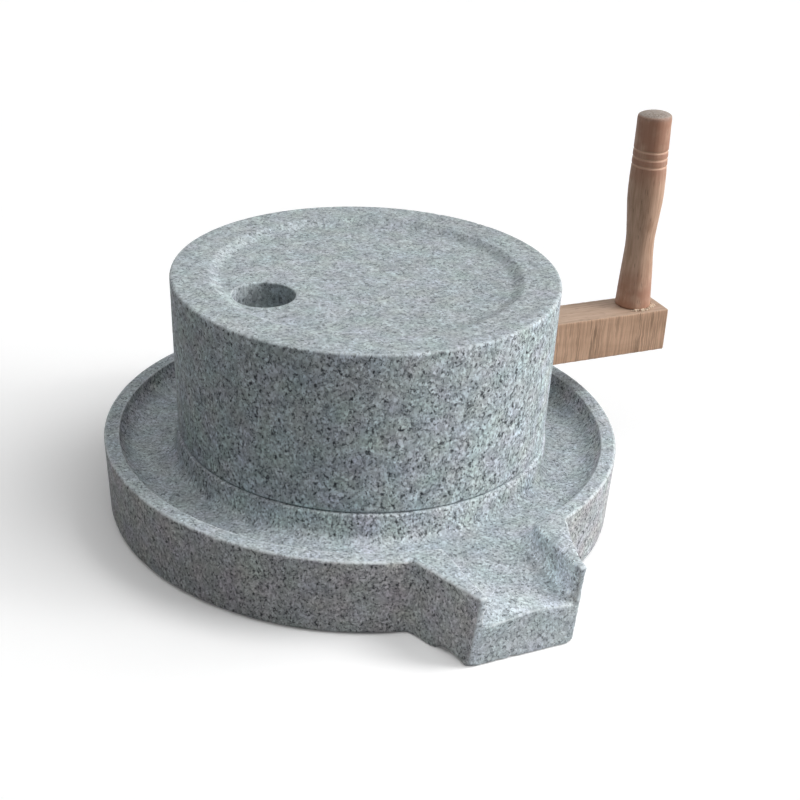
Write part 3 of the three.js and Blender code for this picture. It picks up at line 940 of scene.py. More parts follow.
def wear_tree() -> GeometryTree:
    """Builds the tree that weathers a cut stone.

    Arrises are rounded a little all along, break into chips here and there, and break more near the
    ground. One larger spall is knocked off by an ellipsoid, and inside another one all edges are soft.
    How sharp the arris was, and where it is soft, is kept for the finish. Sizes are in metres.

    Returns:
        The tree.
    """
    arris_ramp, soft_ramp, odds_ramp = (0.15 * MM, 1.0 * MM), (1.0, 0.75), (0.72, 0.84)
    swell_size, crag_size, crag_ramp = 24 * MM, 5 * MM, (0.2, 0.8, 0.82, 1.12)
    tree = GeometryTree("stone_wear", WEAR_INPUTS | {"Round Steps": "Int", "Seed": "Float"})
    start, place = tree.start, tree.position
    near, far = tree.blurred(start["Round Steps"]), tree.blurred(start["Chip Steps"])
    soft = tree.spread(tree.vector("LENGTH", tree.spoke(place, "Soft")), *soft_ramp)
    near = tree.mix(soft, near, tree.blurred(start["Soft Steps"]), kind="VECTOR")
    sunk = tree.vector("DOT_PRODUCT", tree.vector("SUBTRACT", place, far), tree.normal)
    arris = tree.spread(sunk, *arris_ramp)

    seeded = tree.vector("ADD", place, tree.grey(start["Seed"]))
    grown = tree.vector("DIVIDE", seeded, tree.grey(start["Chip Length"]))
    dice = tree.noise(grown, 1.0, detail=3.0, rough=0.55)
    height = tree.maths("DIVIDE", tree.upward(place), start["Ground Height"])
    low = tree.product(tree.maths("SUBTRACT", 1.0, height, clamp=True), start["Ground Share"])
    odds = tree.spread(tree.total(dice, start["Chip Share"], low), *odds_ramp)
    hard = tree.inverse(soft)
    worn = tree.mix(tree.product(arris, hard, odds), near, far, kind="VECTOR")

    swell = tree.maths("SUBTRACT", tree.noise(seeded, swell_size), 1.0)
    worn = tree.along_normal(worn, tree.product(swell, start["Unevenness"]))

    spoke = tree.spoke(worn, "Spall")
    reach = tree.vector("LENGTH", spoke)
    edge = tree.spread(tree.noise(place, crag_size, detail=3.0, rough=0.6), *crag_ramp)
    shell = tree.vector("SCALE", spoke, scale=tree.maths("DIVIDE", edge, reach))
    broken = tree.vector("MULTIPLY_ADD", shell, start["Spall Radii"], start["Spall Centre"])
    worn = tree.mix(tree.maths("LESS_THAN", reach, edge), worn, broken, kind="VECTOR")
    tree.end(worn, {Mark.ARRIS: tree.product(arris, hard), Mark.SOFT: soft})
    return tree


def sawn_tree() -> GeometryTree:
    """Builds the tree that roughens a sawn piece of wood.

    The saw leaves scores across the piece on two opposite sides, uneven in pitch and depth, and the
    arrises are rubbed off. The scores and the sawn sides are kept for the finish. Sizes are in metres.

    Returns:
        The tree.
    """
    lean, side_ramp, teeth_ramp = 0.02, (0.6, 0.9), (0.52, 0.72)
    fade_size, fade_ramp = 12 * MM, (0.3, 0.6, 0.45, 1.0)
    kinds = {"Round Steps": "Int"} | dict.fromkeys(("Along", "Side"), "Vector")
    tree = GeometryTree("sawn_wood", kinds | dict.fromkeys(("Score Pitch", "Score Depth", "Seed"), "Float"))
    start, place = tree.start, tree.position
    along = tree.vector("DOT_PRODUCT", place, start["Along"])
    leaning = tree.maths("ADD", along, tree.product(tree.upward(place), lean))
    beat = tree.maths("ADD", tree.maths("DIVIDE", leaning, start["Score Pitch"]), start["Seed"])
    values = {"W": beat, "Scale": 1.0, "Detail": 2.0, "Roughness": 0.7}
    teeth = tree.spread(tree.out("ShaderNodeTexNoise", values, noise_dimensions="1D"), *teeth_ramp)
    facing = tree.maths("ABSOLUTE", tree.vector("DOT_PRODUCT", tree.normal, start["Side"]))
    sawn = tree.spread(facing, *side_ramp)
    scores = tree.product(teeth, sawn, tree.spread(tree.noise(place, fade_size), *fade_ramp))
    depth = tree.product(scores, -1.0, start["Score Depth"])
    moved = tree.along_normal(tree.blurred(start["Round Steps"]), depth)
    tree.end(moved, {Mark.SCORE: scores, Mark.SAWN: sawn})
    return tree


def bead_tree() -> GeometryTree:
    """Builds the tree that lays uneven beads of glue along a line. Sizes are in metres.

    Returns:
        The tree.
    """
    kinds = {"Bead Count": "Int", "Bead Radius": "Float", "Fineness": "Int", "Seed": "Int"}
    tree = GeometryTree("glue_beads", kinds | dict.fromkeys(("Scatter", "Least Size", "Most Size"), "Vector"))
    start = tree.start
    line = tree.out("GeometryNodeMeshToCurve", {"Mesh": start["Geometry"]})
    values = {"Curve": line, "Count": start["Bead Count"]}
    points = tree.out("GeometryNodeCurveToPoints", values, mode="COUNT")
    back = tree.vector("SCALE", start["Scatter"], scale=-1.0)
    strewn = tree.chance(back, start["Scatter"])
    moved = tree.out("GeometryNodeSetPosition", {"Geometry": points, "Offset": strewn})
    values = {"Radius": start["Bead Radius"], "Subdivisions": start["Fineness"]}
    ball = tree.out("GeometryNodeMeshIcoSphere", values)
    size = tree.chance(start["Least Size"], start["Most Size"])
    values = {"Points": moved, "Instance": ball, "Scale": size}
    tree.end(None, {}, tree.out("GeometryNodeInstanceOnPoints", values))
    return tree


def bake(piece: bpy.types.Object) -> None:
    """Turns a piece and its modifiers into a plain mesh.

    Args:
        piece: The object. Its modifiers are removed.
    """
    bpy.context.view_layer.update()
    made = bpy.data.meshes.new_from_object(piece.evaluated_get(bpy.context.evaluated_depsgraph_get()))
    piece.modifiers.clear()
    spent, piece.data = piece.data, made
    bpy.data.meshes.remove(spent)


def grow(piece: bpy.types.Object, tree: GeometryTree, inputs: Mapping[str, object]) -> None:
    """Runs a Geometry Nodes tree on a piece and keeps the result as its plain mesh.

    Args:
        piece: The object.
        tree: The tree.
        inputs: The values of the tree's named inputs.
    """
    modifier = piece.modifiers.new(tree.tree.name, "NODES")
    modifier.node_group = tree.tree
    for item in tree.tree.interface.items_tree:
        if item.in_out == "INPUT" and item.name in inputs:
            modifier[item.identifier] = inputs[item.name]
    bake(piece)


def rework(piece: bpy.types.Object, kind: str, **settings: object) -> None:
    """Runs one modifier on a piece and keeps the result as its plain mesh.

    Args:
        piece: The object.
        kind: The modifier's type.
        settings: Its properties.
    """
    modifier = piece.modifiers.new(kind.lower(), kind)
    for name, setting in settings.items():
        setattr(modifier, name, setting)
    bake(piece)


def thin(piece: bpy.types.Object, budget: int) -> None:
    """Takes faces off where the surface is flat.

    Args:
        piece: The object.
        budget: About how many triangles are left.
    """
    triangles = sum(len(face.vertices) - 2 for face in piece.data.polygons)
    if triangles > budget:
        rework(piece, "DECIMATE", ratio=budget / triangles)


def corners(mesh: bpy.types.Mesh) -> np.ndarray:
    """Reads a mesh's vertices.

    Args:
        mesh: The mesh.

    Returns:
        One row of coordinates for each vertex.
    """
    flat = np.empty(len(mesh.vertices) * 3)
    mesh.vertices.foreach_get("co", flat)
    return flat.reshape(-1, 3)


def write_back(mesh: bpy.types.Mesh, points: np.ndarray) -> None:
    """Moves a mesh's vertices.

    Args:
        mesh: The mesh.
        points: One row of coordinates for each vertex.
    """
    mesh.vertices.foreach_set("co", points.ravel())
    mesh.update()


def linked(name: str, data: bpy.types.ID) -> bpy.types.Object:
    """Adds an object to the scene.

    Args:
        name: The object's name.
        data: Its mesh, lamp or camera.

    Returns:
        The object.
    """
    made = bpy.data.objects.new(name, data)
    bpy.context.scene.collection.objects.link(made)
    return made


def placed(name: str, shell: bmesh.types.BMesh) -> bpy.types.Object:
    """Turns an edit mesh into an object of the scene.

    Args:
        name: The object's name.
        shell: The edit mesh. It is freed.

    Returns:
        The object.
    """
    mesh = bpy.data.meshes.new(name)
    shell.to_mesh(mesh)
    shell.free()
    return linked(name, mesh)


def copied(name: str, node: bpy.types.Object) -> bpy.types.Object:
    """Copies a solid and merges its loose triangles.

    Args:
        name: The copy's name.
        node: The solid.

    Returns:
        The copy.
    """
    shell = bmesh.new()
    shell.from_mesh(node.data)
    bmesh.ops.remove_doubles(shell, verts=shell.verts, dist=SAME_POINT)
    return placed(name, shell)


@dataclass
class Assembly:
    """What all sub-assemblies share.

    Attributes:
        body: The body that the pieces ride on.
    """

    body: str

    def dress(self, piece: bpy.types.Object, finish: Finish, node: str | None = None) -> None:
        """Gives a piece its finish and hands it to the frame.

        Args:
            piece: The object.
            finish: Its surface.
            node: The solid that it stands for, if there is one.
        """
        piece.data.materials.clear()
        piece.data.materials.append(finish.material())
        piece.data.shade_smooth()
        piece.data.set_sharp_from_angle(angle=math.radians(finish.sharp_deg))
        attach(piece, self.body)
        if node:
            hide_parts(node)
        LOG.info("%s: %d faces", piece.name, len(piece.data.polygons))


@dataclass(kw_only=True)
class Cutting:
    """How a piece is cut from its solid, with fine, even faces that a tree reworks.

    Attributes:
        voxel: The size of a face before thinning, in metres.
        budget: How many triangles are kept.
        round_steps: How far the arrises are rubbed off.
        seed: What makes this piece's marks its own.
    """

    voxel: float
    budget: int
    round_steps: int
    seed: float

    def cut(self, name: str, node: bpy.types.Object, tree: GeometryTree, finish: Finish) -> bpy.types.Object:
        """Makes the piece's mesh.

        Args:
            name: The piece's name.
            node: The solid.
            tree: What reworks the surface.
            finish: The piece's surface.

        Returns:
            The object.
        """
        piece = copied(name, node)
        rework(piece, "REMESH", mode="VOXEL", voxel_size=self.voxel)
        self.true_up(piece.data)
        common = {"Round Steps": self.round_steps, "Seed": self.seed, "Material": finish.material()}
        grow(piece, tree, self.inputs() | common)
        thin(piece, self.budget)
        return piece

    def true_up(self, mesh: bpy.types.Mesh) -> None:
        """Mends the outline before the tree runs. A plain piece needs no mending."""

    def inputs(self) -> dict[str, object]:
        """Gives the values of the tree's own inputs."""
        raise NotImplementedError


@dataclass(kw_only=True)
class Hewing(Cutting):
    """How a block of stone is cut from its solid.

    Attributes:
        azimuth: The direction of one corner of the solid's many-sided outline, in radians.
        reach: The radius of the round part, in metres.
        reach_fade: How far beyond it the outline is left alone.
        sides: How many sides that outline has.
        eye: The radius inside which nothing is rounded.
        chip_steps: How deep a chip breaks in.
        chip_length: How long a chip is.
        chip_share: How many chips there are along an arris.
        ground_height: How far above the ground there are more.
        ground_share: How many more there are near the ground.
        unevenness: How far the surface swells and sinks.
        spall_centre: The middle of one larger break.
        spall_radii: That break's half sizes.
        soft_steps: How far edges are worn in a soft place.
        soft_centre: The middle of a place with soft, hand-worn edges.
        soft_radii: That place's half sizes.
    """

    azimuth: float
    reach: float
    voxel: float = 0.85 * MM
    budget: int = 185_000
    round_steps: int = 1
    reach_fade: float = 3 * MM
    sides: int = 72
    eye: float = 30 * MM
    chip_steps: int = 24
    chip_length: float = 7 * MM
    chip_share: float = 0.12
    ground_height: float = 9 * MM
    ground_share: float = 0.0
    unevenness: float = 0.14 * MM
    spall_centre: Triple = (0.0, 0.0, -1.0)
    spall_radii: Triple = (MM, MM, MM)
    soft_steps: int = 60
    soft_centre: Triple = (0.0, 0.0, -1.0)
    soft_radii: Triple = (MM, MM, MM)

    def inputs(self) -> dict[str, object]:
        """Gives the values of the weathering tree's inputs, each named like its field."""
        return {label: getattr(self, label.lower().replace(" ", "_")) for label in WEAR_INPUTS}

    def true_up(self, mesh: bpy.types.Mesh) -> None:
        """Swells the many-sided outline to true circles through its corners.

        Args:
            mesh: The mesh, changed in place.
        """
        points = corners(mesh)
        step = 2 * math.pi / self.sides
        off_middle = np.mod(np.arctan2(points[:, 1], points[:, 0]) - self.azimuth, step) - step / 2
        radius = np.hypot(points[:, 0], points[:, 1])
        ends = [self.eye, self.eye + MM, self.reach, self.reach + self.reach_fade]
        share = np.interp(radius, ends, [0.0, 1.0, 1.0, 0.0])
        points[:, :2] *= (1 + share * (np.cos(off_middle) / math.cos(step / 2) - 1))[:, None]
        write_back(mesh, points)


@dataclass(kw_only=True)
class Sawing(Cutting):
    """How a wooden piece is sawn from its solid.

    Attributes:
        azimuth: The direction that the piece lies in, in radians.
        score_pitch: The distance between the saw's deep scores, in metres.
        score_depth: How deep they are.
    """

    azimuth: float = ARM_AZIMUTH
    round_steps: int = 3
    seed: float = 3.0
    score_pitch: float = 2.6 * MM
    score_depth: float = 0.16 * MM

    def inputs(self) -> dict[str, object]:
        """Gives the values of the sawn wood tree's inputs."""
        cosine, sine = math.cos(self.azimuth), math.sin(self.azimuth)
        return {
            "Along": (cosine, sine, 0.0),
            "Side": (-sine, cosine, 0.0),
            "Score Pitch": self.score_pitch,
            "Score Depth": self.score_depth,
        }


@dataclass
class Lathe:
    """How a round piece is turned anew from its solid's outline.

    Attributes:
        sides: How many sides the new piece has.
        ease: How much is rubbed off its arrises, in metres.
        ease_share: How much of a side the rubbing may take at most.
        bend_steps: How many steps round an arris off.
        same_radius: Up to what difference two corners lie on one circle.
        on_axis: Up to what radius a corner lies on the axis.
        decimals: How many decimals of a height in metres tell two circles apart.
    """

    sides: int = 96
    ease: float = 0.4 * MM
    ease_share: float = 0.4
    bend_steps: int = 4
    same_radius: float = 0.06 * MM
    on_axis: float = 0.01 * MM
    decimals: int = 6

    def turn(self, name: str, node: bpy.types.Object) -> bpy.types.Object:
        """Makes the piece's mesh.

        Args:
            name: The piece's name.
            node: The solid.

        Returns:
            The object.
        """
        centre, outline = self.outline(node)
        return self.spun(name, centre, self.refined(outline))

    def outline(self, node: bpy.types.Object) -> tuple[np.ndarray, np.ndarray]:
        """Reads the solid's outline.

        Args:
            node: The solid.

        Returns:
            The axis, and the outline's radii and heights from the bottom up.
        """
        points = corners(node.data)
        centre = (points.min(0) + points.max(0)) / 2
        rings: dict[float, list[float]] = {}
        for offset in points - centre * (1, 1, 0):
            radius = math.hypot(offset[0], offset[1])
            ring = rings.setdefault(round(float(offset[2]), self.decimals), [])
            if all(abs(radius - known) > self.same_radius for known in ring):
                ring.append(radius)
        outline = [(0.0, 0.0)]
        for height in sorted(rings):
            nearest_first = sorted(rings[height], key=lambda found: abs(found - outline[-1][0]))
            outline += [(radius, height) for radius in nearest_first]
        return centre, np.array(outline[1:])

    def refined(self, outline: np.ndarray) -> np.ndarray:
        """Rubs the arrises off.

        Args:
            outline: Radii and heights from the bottom up.

        Returns:
            The finer outline, with how deep it lies in a groove as a third column.
        """
        closed = outline[0, 0] > self.ease
        fine = []
        for index, point in enumerate(outline):
            before, after = outline[index - 1] - point, outline[(index + 1) % len(outline)] - point
            if not closed and index in (0, len(outline) - 1):
                fine.append(point)
                continue
            near, late = (
                point + side * min(self.ease / np.linalg.norm(side), self.ease_share)
                for side in (before, after)
            )
            for share in np.linspace(0, 1, self.bend_steps + 1):
                fine.append((1 - share) ** 2 * near + 2 * share * (1 - share) * point + share**2 * late)
        return np.column_stack([np.array(fine), np.zeros(len(fine))])

    def spun(self, name: str, centre: np.ndarray, outline: np.ndarray) -> bpy.types.Object:
        """Turns an outline about the axis.

        Args:
            name: The piece's name.
            centre: A point on the axis.
            outline: Radii, heights and groove depths. It ends on the axis or closes on itself.

        Returns:
            The object.
        """
        shell = bmesh.new()
        layer = shell.verts.layers.float.new(Mark.GROOVE.value)
        rings = []
        for radius, height, depth in outline.tolist():
            ring = []
            count = 1 if radius < self.on_axis else self.sides
            for angle in np.linspace(0, 2 * math.pi, count, endpoint=False):
                x, y = centre[0] + radius * math.cos(angle), centre[1] + radius * math.sin(angle)
                ring.append(shell.verts.new((x, y, height)))
                ring[-1][layer] = depth
            rings.append(ring)
        if len(rings[0]) > 1:
            rings.append(rings[0])
        for lower, upper in zip(rings, rings[1:]):
            for side in range(self.sides):
                loop = [lower[side % len(lower)], lower[(side + 1) % len(lower)]]
                loop += [upper[(side + 1) % len(upper)], upper[side % len(upper)]]
                shell.faces.new(list(dict.fromkeys(loop)))
        bmesh.ops.recalc_face_normals(shell, faces=shell.faces)
        return placed(name, shell)


@dataclass
class GripLathe(Lathe):
    """How the crank's grip is turned: a smooth stem with narrow grooves and a domed end.

    Attributes:
        step: The height of a ring on the stem, in metres.
        foot_least: The least radius of the tenon under the foot.
        groove_least: From what depth a dip is a groove.
        groove_half: Half a groove's width.
        groove_depth: How deep it is.
        groove_rings: How many rings draw it.
        end_rounding: How far below the top the dome starts.
        end_power: How square the dome is.
        end_rings: How many rings it has.
        lean: How far the grip leans from its foot to its top.
        end_slope: How steeply the end falls that way.
    """

    step: float = 0.8 * MM
    foot_least: float = 1 * MM
    groove_least: float = 0.3 * MM
    groove_half: float = 1.15 * MM
    groove_depth: float = 0.6 * MM
    groove_rings: int = 15
    end_rounding: float = 3.5 * MM
    end_power: float = 2.15
    end_rings: int = 24
    lean: Triple = (-0.9 * MM, 0.45 * MM, 0.0)
    end_slope: float = 0.045

    def turn(self, name: str, node: bpy.types.Object) -> bpy.types.Object:
        """Makes the grip's mesh, then leans it and its end.

        Args:
            name: The piece's name.
            node: The solid.

        Returns:
            The object.
        """
        piece = super().turn(name, node)
        points = corners(piece.data)
        centre = (points.min(0) + points.max(0)) / 2
        foot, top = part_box("crank_arm")[1].z, points[:, 2].max()
        rise = np.clip((points[:, 2] - foot) / (top - foot), 0.0, 1.0)
        lean = np.array(self.lean)
        side = (points - centre) @ (lean / np.linalg.norm(lean))
        radius = side.max()
        domed = np.clip((points[:, 2] - top) / (2 * self.end_rounding) + 1, 0.0, 1.0)
        points[:, 2] -= domed * self.end_slope * (side + radius)
        points += rise[:, None] * lean
        write_back(piece.data, points)
        return piece

    def refined(self, outline: np.ndarray) -> np.ndarray:
        """Draws a smooth curve through the stem and cuts the grooves again.

        Args:
            outline: Radii and heights from the bottom up.

        Returns:
            The finer outline, with how deep it lies in a groove as a third column.
        """
        radii, heights = outline.T
        steps = range(1, len(outline))
        foot = next(at for at in steps if heights[at] == heights[at - 1] and radii[at - 1] > self.foot_least)
        inner = range(foot + 1, len(outline) - 1)
        dips = [at for at in inner if radii[at] < min(radii[at - 1], radii[at + 1]) - self.groove_least]
        neck = heights[-1] - self.end_rounding
        knots = [at for at in range(foot, len(outline)) if at not in dips and heights[at] < neck + self.step]
        stem_places, stem_radii = heights[knots], radii[knots]

        rough = np.arange(heights[foot] + self.ease, neck - self.ease, self.step)
        clear = np.min([abs(rough - heights[at]) for at in dips], axis=0) > self.groove_half + self.step / 4
        across = np.linspace(-self.groove_half, self.groove_half, self.groove_rings)
        samples = np.sort(np.concatenate([rough[clear], *(heights[at] + across for at in dips)]))
        depth = sum(np.clip(1 - abs(samples - heights[at]) / self.groove_half, 0, 1) for at in dips)
        stem = self.curve(stem_places, stem_radii, samples) - self.groove_depth * depth**2 * (3 - 2 * depth)

        turn = np.linspace(0, math.pi / 2, self.end_rings)
        neck_radius = self.curve(stem_places, stem_radii, np.array([neck]))[0]
        dome_radii = neck_radius * np.cos(turn) ** (2 / self.end_power)
        dome_heights = neck + self.end_rounding * np.sin(turn) ** (2 / self.end_power)
        start = [*outline[:foot], (radii[foot] - self.ease, heights[foot])]
        dome = np.column_stack([dome_radii, dome_heights])
        whole = np.vstack([start, np.column_stack([stem, samples]), dome])
        depths = np.concatenate([np.zeros(len(start)), depth, np.zeros(len(dome))])
        return np.column_stack([whole, depths])

    @staticmethod
    def curve(places: np.ndarray, values: np.ndarray, samples: np.ndarray) -> np.ndarray:
        """Draws a smooth curve through points.

        Args:
            places: Where the points are.
            values: Their values.
            samples: Where the curve is read.

        Returns:
            The curve's values there.
        """
        slopes = np.gradient(values, places)
        at = np.clip(np.searchsorted(places, samples, side="right") - 1, 0, len(places) - 2)
        gap = places[at + 1] - places[at]
        share = (samples - places[at]) / gap
        rise = share * share * (3 - 2 * share)
        early = gap * share * (1 - share) ** 2 * slopes[at]
        late = gap * share**2 * (share - 1) * slopes[at + 1]
        return (1 - rise) * values[at] + rise * values[at + 1] + early + late


@dataclass
class LowerStone(Assembly):
    """The tray with its spout and bed, and the sleeve round the pin.

    Attributes:
        granite: The stone's surface.
        sleeve: The sleeve's surface.
        hewing: How the stone is cut.
    """

    granite: Granite
    sleeve: Cloudy
    hewing: Hewing = field(default_factory=lambda: Hewing(
        seed=0.31,
        azimuth=0.0,
        reach=172.5 * MM,
        ground_share=0.16,
        spall_centre=(-37 * MM, -193 * MM, -2 * MM),
        spall_radii=(9 * MM, 14 * MM, 8 * MM),
        soft_centre=(37 * MM, -178 * MM, 42 * MM),
        soft_radii=(24 * MM, 35 * MM, 30 * MM),
    ))

    def build(self, nodes: Mapping[str, bpy.types.Object], wear: GeometryTree) -> None:
        """Makes the pieces.

        Args:
            nodes: The solids by name.
            wear: The stones' weathering.
        """
        stone = self.hewing.cut("lower_stone", nodes["base_stone"], wear, self.granite)
        self.dress(stone, self.granite, "base_stone")
        self.dress(Lathe().turn("lower_sleeve", nodes["bed_sleeve"]), self.sleeve, "bed_sleeve")


@dataclass
class Spindle(Assembly):
    """The loose pin that the upper stone turns on.

    Attributes:
        steel: The pin's surface.
    """

    steel: Steel

    def build(self, nodes: Mapping[str, bpy.types.Object]) -> None:
        """Makes the pin.

        Args:
            nodes: The solids by name.
        """
        self.dress(Lathe().turn("turning_pin", nodes["spindle_pin"]), self.steel, "spindle_pin")


@dataclass
class UpperStone(Assembly):
    """The runner stone and its sleeve.

    Attributes:
        granite: The stone's surface.
        sleeve: The sleeve's surface.
        hewing: How the stone is cut.
    """

    granite: Granite
    sleeve: Cloudy
    hewing: Hewing = field(default_factory=lambda: Hewing(seed=0.77, azimuth=ARM_AZIMUTH, reach=126.5 * MM))

    def build(self, nodes: Mapping[str, bpy.types.Object], wear: GeometryTree) -> None:
        """Makes the pieces.

        Args:
            nodes: The solids by name.
            wear: The stones' weathering.
        """
        stone = self.hewing.cut("upper_stone", nodes["runner_stone"], wear, self.granite)
        self.dress(stone, self.granite, "runner_stone")
        self.dress(Lathe().turn("upper_sleeve", nodes["runner_sleeve"]), self.sleeve, "runner_sleeve")


@dataclass
class Crank(Assembly):
    """The sawn arm with its wedges, the turned grip, and the dried glue round the grip's foot.

    Attributes:
        arm_wood: The arm's surface.
        wedge_wood: The wedges' surface.
        grip_wood: The grip's surface.
        glue: The glue's surface.
        arm_sawing: How the arm is sawn.
        wedge_sawing: How the wedges are sawn.
        bead_radius: The radius of a bead of glue, in metres.
        bead_count: How many beads there are.
        bead_fineness: How often a bead's faces are split.
        bead_sizes: The smallest and the largest bead, against the radius.
        bead_scatter: How far a bead strays from its line.
        bead_seed: What sets the beads' sizes and places.
        bead_arc_deg: Where the line starts and ends round the grip, in degrees.
        bead_line_points: How many points draw it.
        bead_off: How far it is from the grip.
    """

    arm_wood: Timber
    wedge_wood: Timber
    grip_wood: Timber
    glue: Cloudy
    arm_sawing: Sawing = field(default_factory=lambda: Sawing(voxel=0.6 * MM, budget=120_000))
    wedge_sawing: Sawing = field(default_factory=lambda: Sawing(voxel=0.5 * MM, budget=24_000))
    bead_radius: float = 0.75 * MM
    bead_count: int = 90
    bead_fineness: int = 2
    bead_sizes: tuple[Triple, Triple] = ((0.5, 0.5, 0.4), (1.2, 1.2, 0.9))
    bead_scatter: Triple = (1.7 * MM, 1.7 * MM, 0.2 * MM)
    bead_seed: int = 5
    bead_arc_deg: tuple[float, float] = (-122.0, -30.0)
    bead_line_points: int = 24
    bead_off: float = 1.1 * MM

    def build(self, nodes: Mapping[str, bpy.types.Object], saw: GeometryTree, beads: GeometryTree) -> None:
        """Makes the pieces.

        Args:
            nodes: The solids by name.
            saw: The sawn wood's roughening.
            beads: The glue's pattern.
        """
        arm = self.arm_sawing.cut("arm", nodes["crank_arm"], saw, self.arm_wood)
        self.dress(arm, self.arm_wood, "crank_arm")
        for name, node in (("lower_wedge", "wedge_set"), ("upper_wedge", "wedge_driven")):
            wedge = self.wedge_sawing.cut(name, nodes[node], saw, self.wedge_wood)
            self.dress(wedge, self.wedge_wood, node)
        self.dress(GripLathe().turn("grip", nodes["crank_grip"]), self.grip_wood, "crank_grip")
        self.dress(self.glue_beads(beads), self.glue)

    def glue_beads(self, beads: GeometryTree) -> bpy.types.Object:
        """Lays the glue along an arc round the grip's foot.

        Args:
            beads: The pattern of the beads.

        Returns:
            The object.
        """
        low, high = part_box("crank_grip")
        centre = (low + high) / 2
        radius = (high.x - low.x) / 2 + self.bead_off
        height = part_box("crank_arm")[1].z + self.bead_radius / 2
        shell = bmesh.new()
        dots = []
        for angle in np.radians(np.linspace(*self.bead_arc_deg, self.bead_line_points)):
            x, y = centre.x + radius * math.cos(angle), centre.y + radius * math.sin(angle)
            dots.append(shell.verts.new((x, y, height)))
        for pair in zip(dots, dots[1:]):
            shell.edges.new(pair)
        piece = placed("glue_beads", shell)
        inputs = {
            "Bead Count": self.bead_count,
            "Bead Radius": self.bead_radius,
            "Fineness": self.bead_fineness,
            "Least Size": self.bead_sizes[0],
            "Most Size": self.bead_sizes[1],
            "Scatter": self.bead_scatter,
            "Seed": self.bead_seed,
            "Material": self.glue.material(),
        }
        grow(piece, beads, inputs)
        return piece


@dataclass(frozen=True)
class Lamp:
    """A far lamp with a soft edge.

    Attributes:
        name: Its name.
        azimuth_deg: Where it stands, from +X.
        height_deg: How high it stands.
        spread_deg: How wide it is.
        power: Its strength.
    """

    name: str
    azimuth_deg: float
    height_deg: float
    spread_deg: float
    power: float

    def light(self) -> None:
        """Sets the lamp up."""
        lamp = bpy.data.lights.new(self.name, "SUN")
        lamp.energy = self.power
        lamp.angle = math.radians(self.spread_deg)
        light = linked(self.name, lamp)
        light.rotation_euler = (0.0, math.radians(90.0 - self.height_deg), math.radians(self.azimuth_deg))


@dataclass(frozen=True)
class NearLamp:
    """A small lamp close by, with a soft beam.

    Attributes:
        name: Its name.
        place: Where it is, in metres.
        aim: What it points at.
        cone_deg: How wide its beam is.
        size: Its radius.
        power: Its power in watts.
    """

    name: str
    place: Triple
    aim: Triple
    cone_deg: float
    size: float
    power: float

    def light(self) -> None:
        """Sets the lamp up."""
        lamp = bpy.data.lights.new(self.name, "SPOT")
        lamp.energy = self.power
        lamp.spot_size = math.radians(self.cone_deg)
        lamp.spot_blend = 1.0
        lamp.shadow_soft_size = self.size
        light = linked(self.name, lamp)
        light.location = self.place
        beam = Vector(self.aim) - Vector(self.place)
        light.rotation_euler = beam.to_track_quat("-Z", "Y").to_euler()


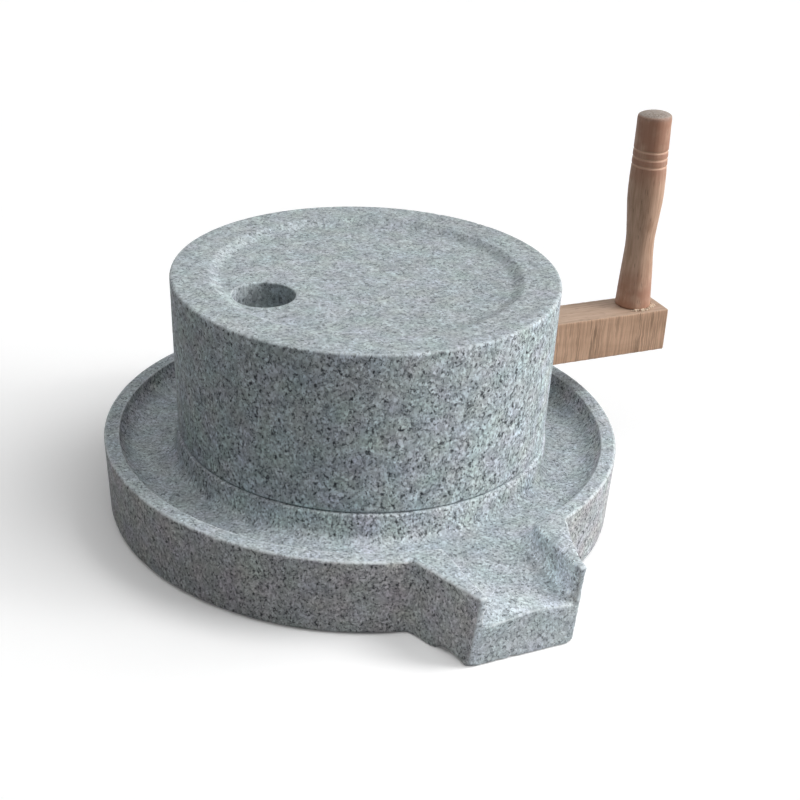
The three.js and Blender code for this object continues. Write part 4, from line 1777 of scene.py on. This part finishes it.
@dataclass
class Studio:
    """The camera, the lamps, the white backdrop and the pale floor.

    Attributes:
        eye: Where the camera is, in metres.
        turn_deg: Its turn about the upright, from looking along +Y.
        tilt_deg: How far it looks down.
        roll_deg: How far it leans.
        lens: Its focal length in millimetres.
        film: The width of its film in millimetres.
        sight: How far it sees, in metres.
        lamps: The lamps. The small one fills the shade round the spout.
        floor_half: Half the floor's width, in metres.
        floor_seen: The floor's colour where it is seen.
        floor_glow: How much whiter the floor is where it is seen.
        floor_bounce: The floor's colour where it only throws light back.
    """

    eye: Triple = (-368.65 * MM, -737.87 * MM, 493.40 * MM)
    turn_deg: float = -28.3
    tilt_deg: float = 27.2
    roll_deg: float = 2.69
    lens: float = 61.815
    film: float = 36.0
    sight: float = 50.0
    lamps: tuple[Lamp | NearLamp, ...] = (
        Lamp("low_key_light", -30.0, 12.0, 22.0, 2.17),
        Lamp("high_key_light", -30.0, 52.0, 30.0, 1.4),
        Lamp("top_light", -30.0, 86.0, 90.0, 1.13),
        Lamp("front_light", -120.0, 60.0, 60.0, 0.27),
        NearLamp(
            "spout_light",
            place=(-300 * MM, -380 * MM, 520 * MM),
            aim=(5 * MM, -200 * MM, 20 * MM),
            cone_deg=26.0,
            size=100 * MM,
            power=4.2,
        ),
    )
    floor_half: float = 6.0
    floor_seen: Triple = (0.99, 0.99, 0.99)
    floor_glow: float = 0.09
    floor_bounce: Triple = (0.33, 0.33, 0.33)

    def build(self) -> None:
        """Sets up the whole studio."""
        scene = bpy.context.scene
        scene.view_settings.view_transform = "Standard"
        scene.camera = self.camera()
        for lamp in self.lamps:
            lamp.light()
        scene.world = self.backdrop()
        self.floor()

    def camera(self) -> bpy.types.Object:
        """Makes the camera.

        Returns:
            The object.
        """
        lens = bpy.data.cameras.new("camera")
        lens.lens = self.lens
        lens.sensor_width = self.film
        lens.sensor_fit = "HORIZONTAL"
        lens.clip_end = self.sight
        camera = linked("camera", lens)
        turn = Matrix.Rotation(math.radians(self.turn_deg), 4, "Z")
        tilt = Matrix.Rotation(math.radians(90.0 - self.tilt_deg), 4, "X")
        roll = Matrix.Rotation(math.radians(self.roll_deg), 4, "Z")
        camera.matrix_world = Matrix.Translation(self.eye) @ turn @ tilt @ roll
        return camera

    @staticmethod
    def backdrop() -> bpy.types.World:
        """Makes the white that is seen behind the object and lights nothing.

        Returns:
            The world.
        """
        world = bpy.data.worlds.new("studio")
        world.use_nodes = True
        graph = Graph(world.node_tree)
        backdrop = world.node_tree.nodes["Background"].inputs
        graph.feed(backdrop["Color"], WHITE)
        graph.feed(backdrop["Strength"], graph.seen())
        return world

    def floor(self) -> None:
        """Makes the floor, which keeps the object's shadow."""
        shell = bmesh.new()
        bmesh.ops.create_grid(shell, x_segments=1, y_segments=1, size=self.floor_half)
        floor = placed("floor", shell)
        coat = Coat("pale_floor")
        seen = coat.seen()
        coat.shade({
            "Base Color": coat.mix(seen, self.floor_bounce, self.floor_seen),
            "Emission Color": WHITE,
            "Emission Strength": coat.product(seen, self.floor_glow),
            "Roughness": 1.0,
            "Specular IOR Level": 0.0,
        })
        floor.data.materials.append(coat.material)


def main() -> None:
    """Builds the mill and its studio."""
    logging.basicConfig(level=logging.INFO, format="%(name)s: %(message)s")
    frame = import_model()
    nodes = frame["nodes"]
    Studio().build()

    upper_granite = Granite(
        "speckled_granite", "granite", bore_place=(-72.9, -3.8, 0.0), bore_radius=20.1, mottling=0.10
    )
    # The tray's granite, paler all over than the runner's.
    lower_granite = Granite(
        "paler_granite",
        "granite",
        feldspar=(0.62, 0.683, 0.715),
        quartz=(0.415, 0.46, 0.485),
        mica=(0.038, 0.04, 0.045),
        average=(0.398, 0.45, 0.482),
        crystal=1.5,
        fleck=1.6,
        core=2.2,
        scratch=2.6,
        # Painted shade: the tray's sides darker and warmer than its top.
        painted_side_shade=(0.965, 0.9, 0.88),
        honed_contrast=0.72,
        bruised=0.75,
        plain_within=132.0,
        sawn_beyond=192.0,
    )
    nylon = Cloudy("dusty_nylon", "sleeve_nylon")
    low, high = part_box("crank_grip")
    grip_wood = Timber(
        "turned_wood",
        "grip_wood",
        centre=tuple((low + high) / 2),
        grain=Grain.UPRIGHT,
        top=(high.z - low.z) / 2 / MM,
        pale=(0.67, 0.445, 0.32),
        deep=(0.41, 0.245, 0.16),
        sharp_deg=70.0,
    )
    arm_wood = Timber("sawn_wood", "arm_wood", azimuth=ARM_AZIMUTH)
    wedge_wood = Timber(
        "pale_wood",
        "wedge_wood",
        azimuth=ARM_AZIMUTH,
        pale=(0.56, 0.44, 0.32),
        deep=(0.42, 0.31, 0.22),
    )
    glue = Cloudy("dried_glue", "grip_wood", clean=(0.72, 0.58, 0.44), hazy=(0.54, 0.4, 0.29), patch=0.9)

    wear = wear_tree()
    LowerStone("base", lower_granite, nylon).build(nodes, wear)
    Spindle("spindle", Steel("turned_steel", "pin_steel")).build(nodes)
    UpperStone("runner", upper_granite, nylon).build(nodes, wear)
    Crank("runner", arm_wood, wedge_wood, grip_wood, glue).build(nodes, sawn_tree(), bead_tree())


if __name__ == "__main__":
    main()
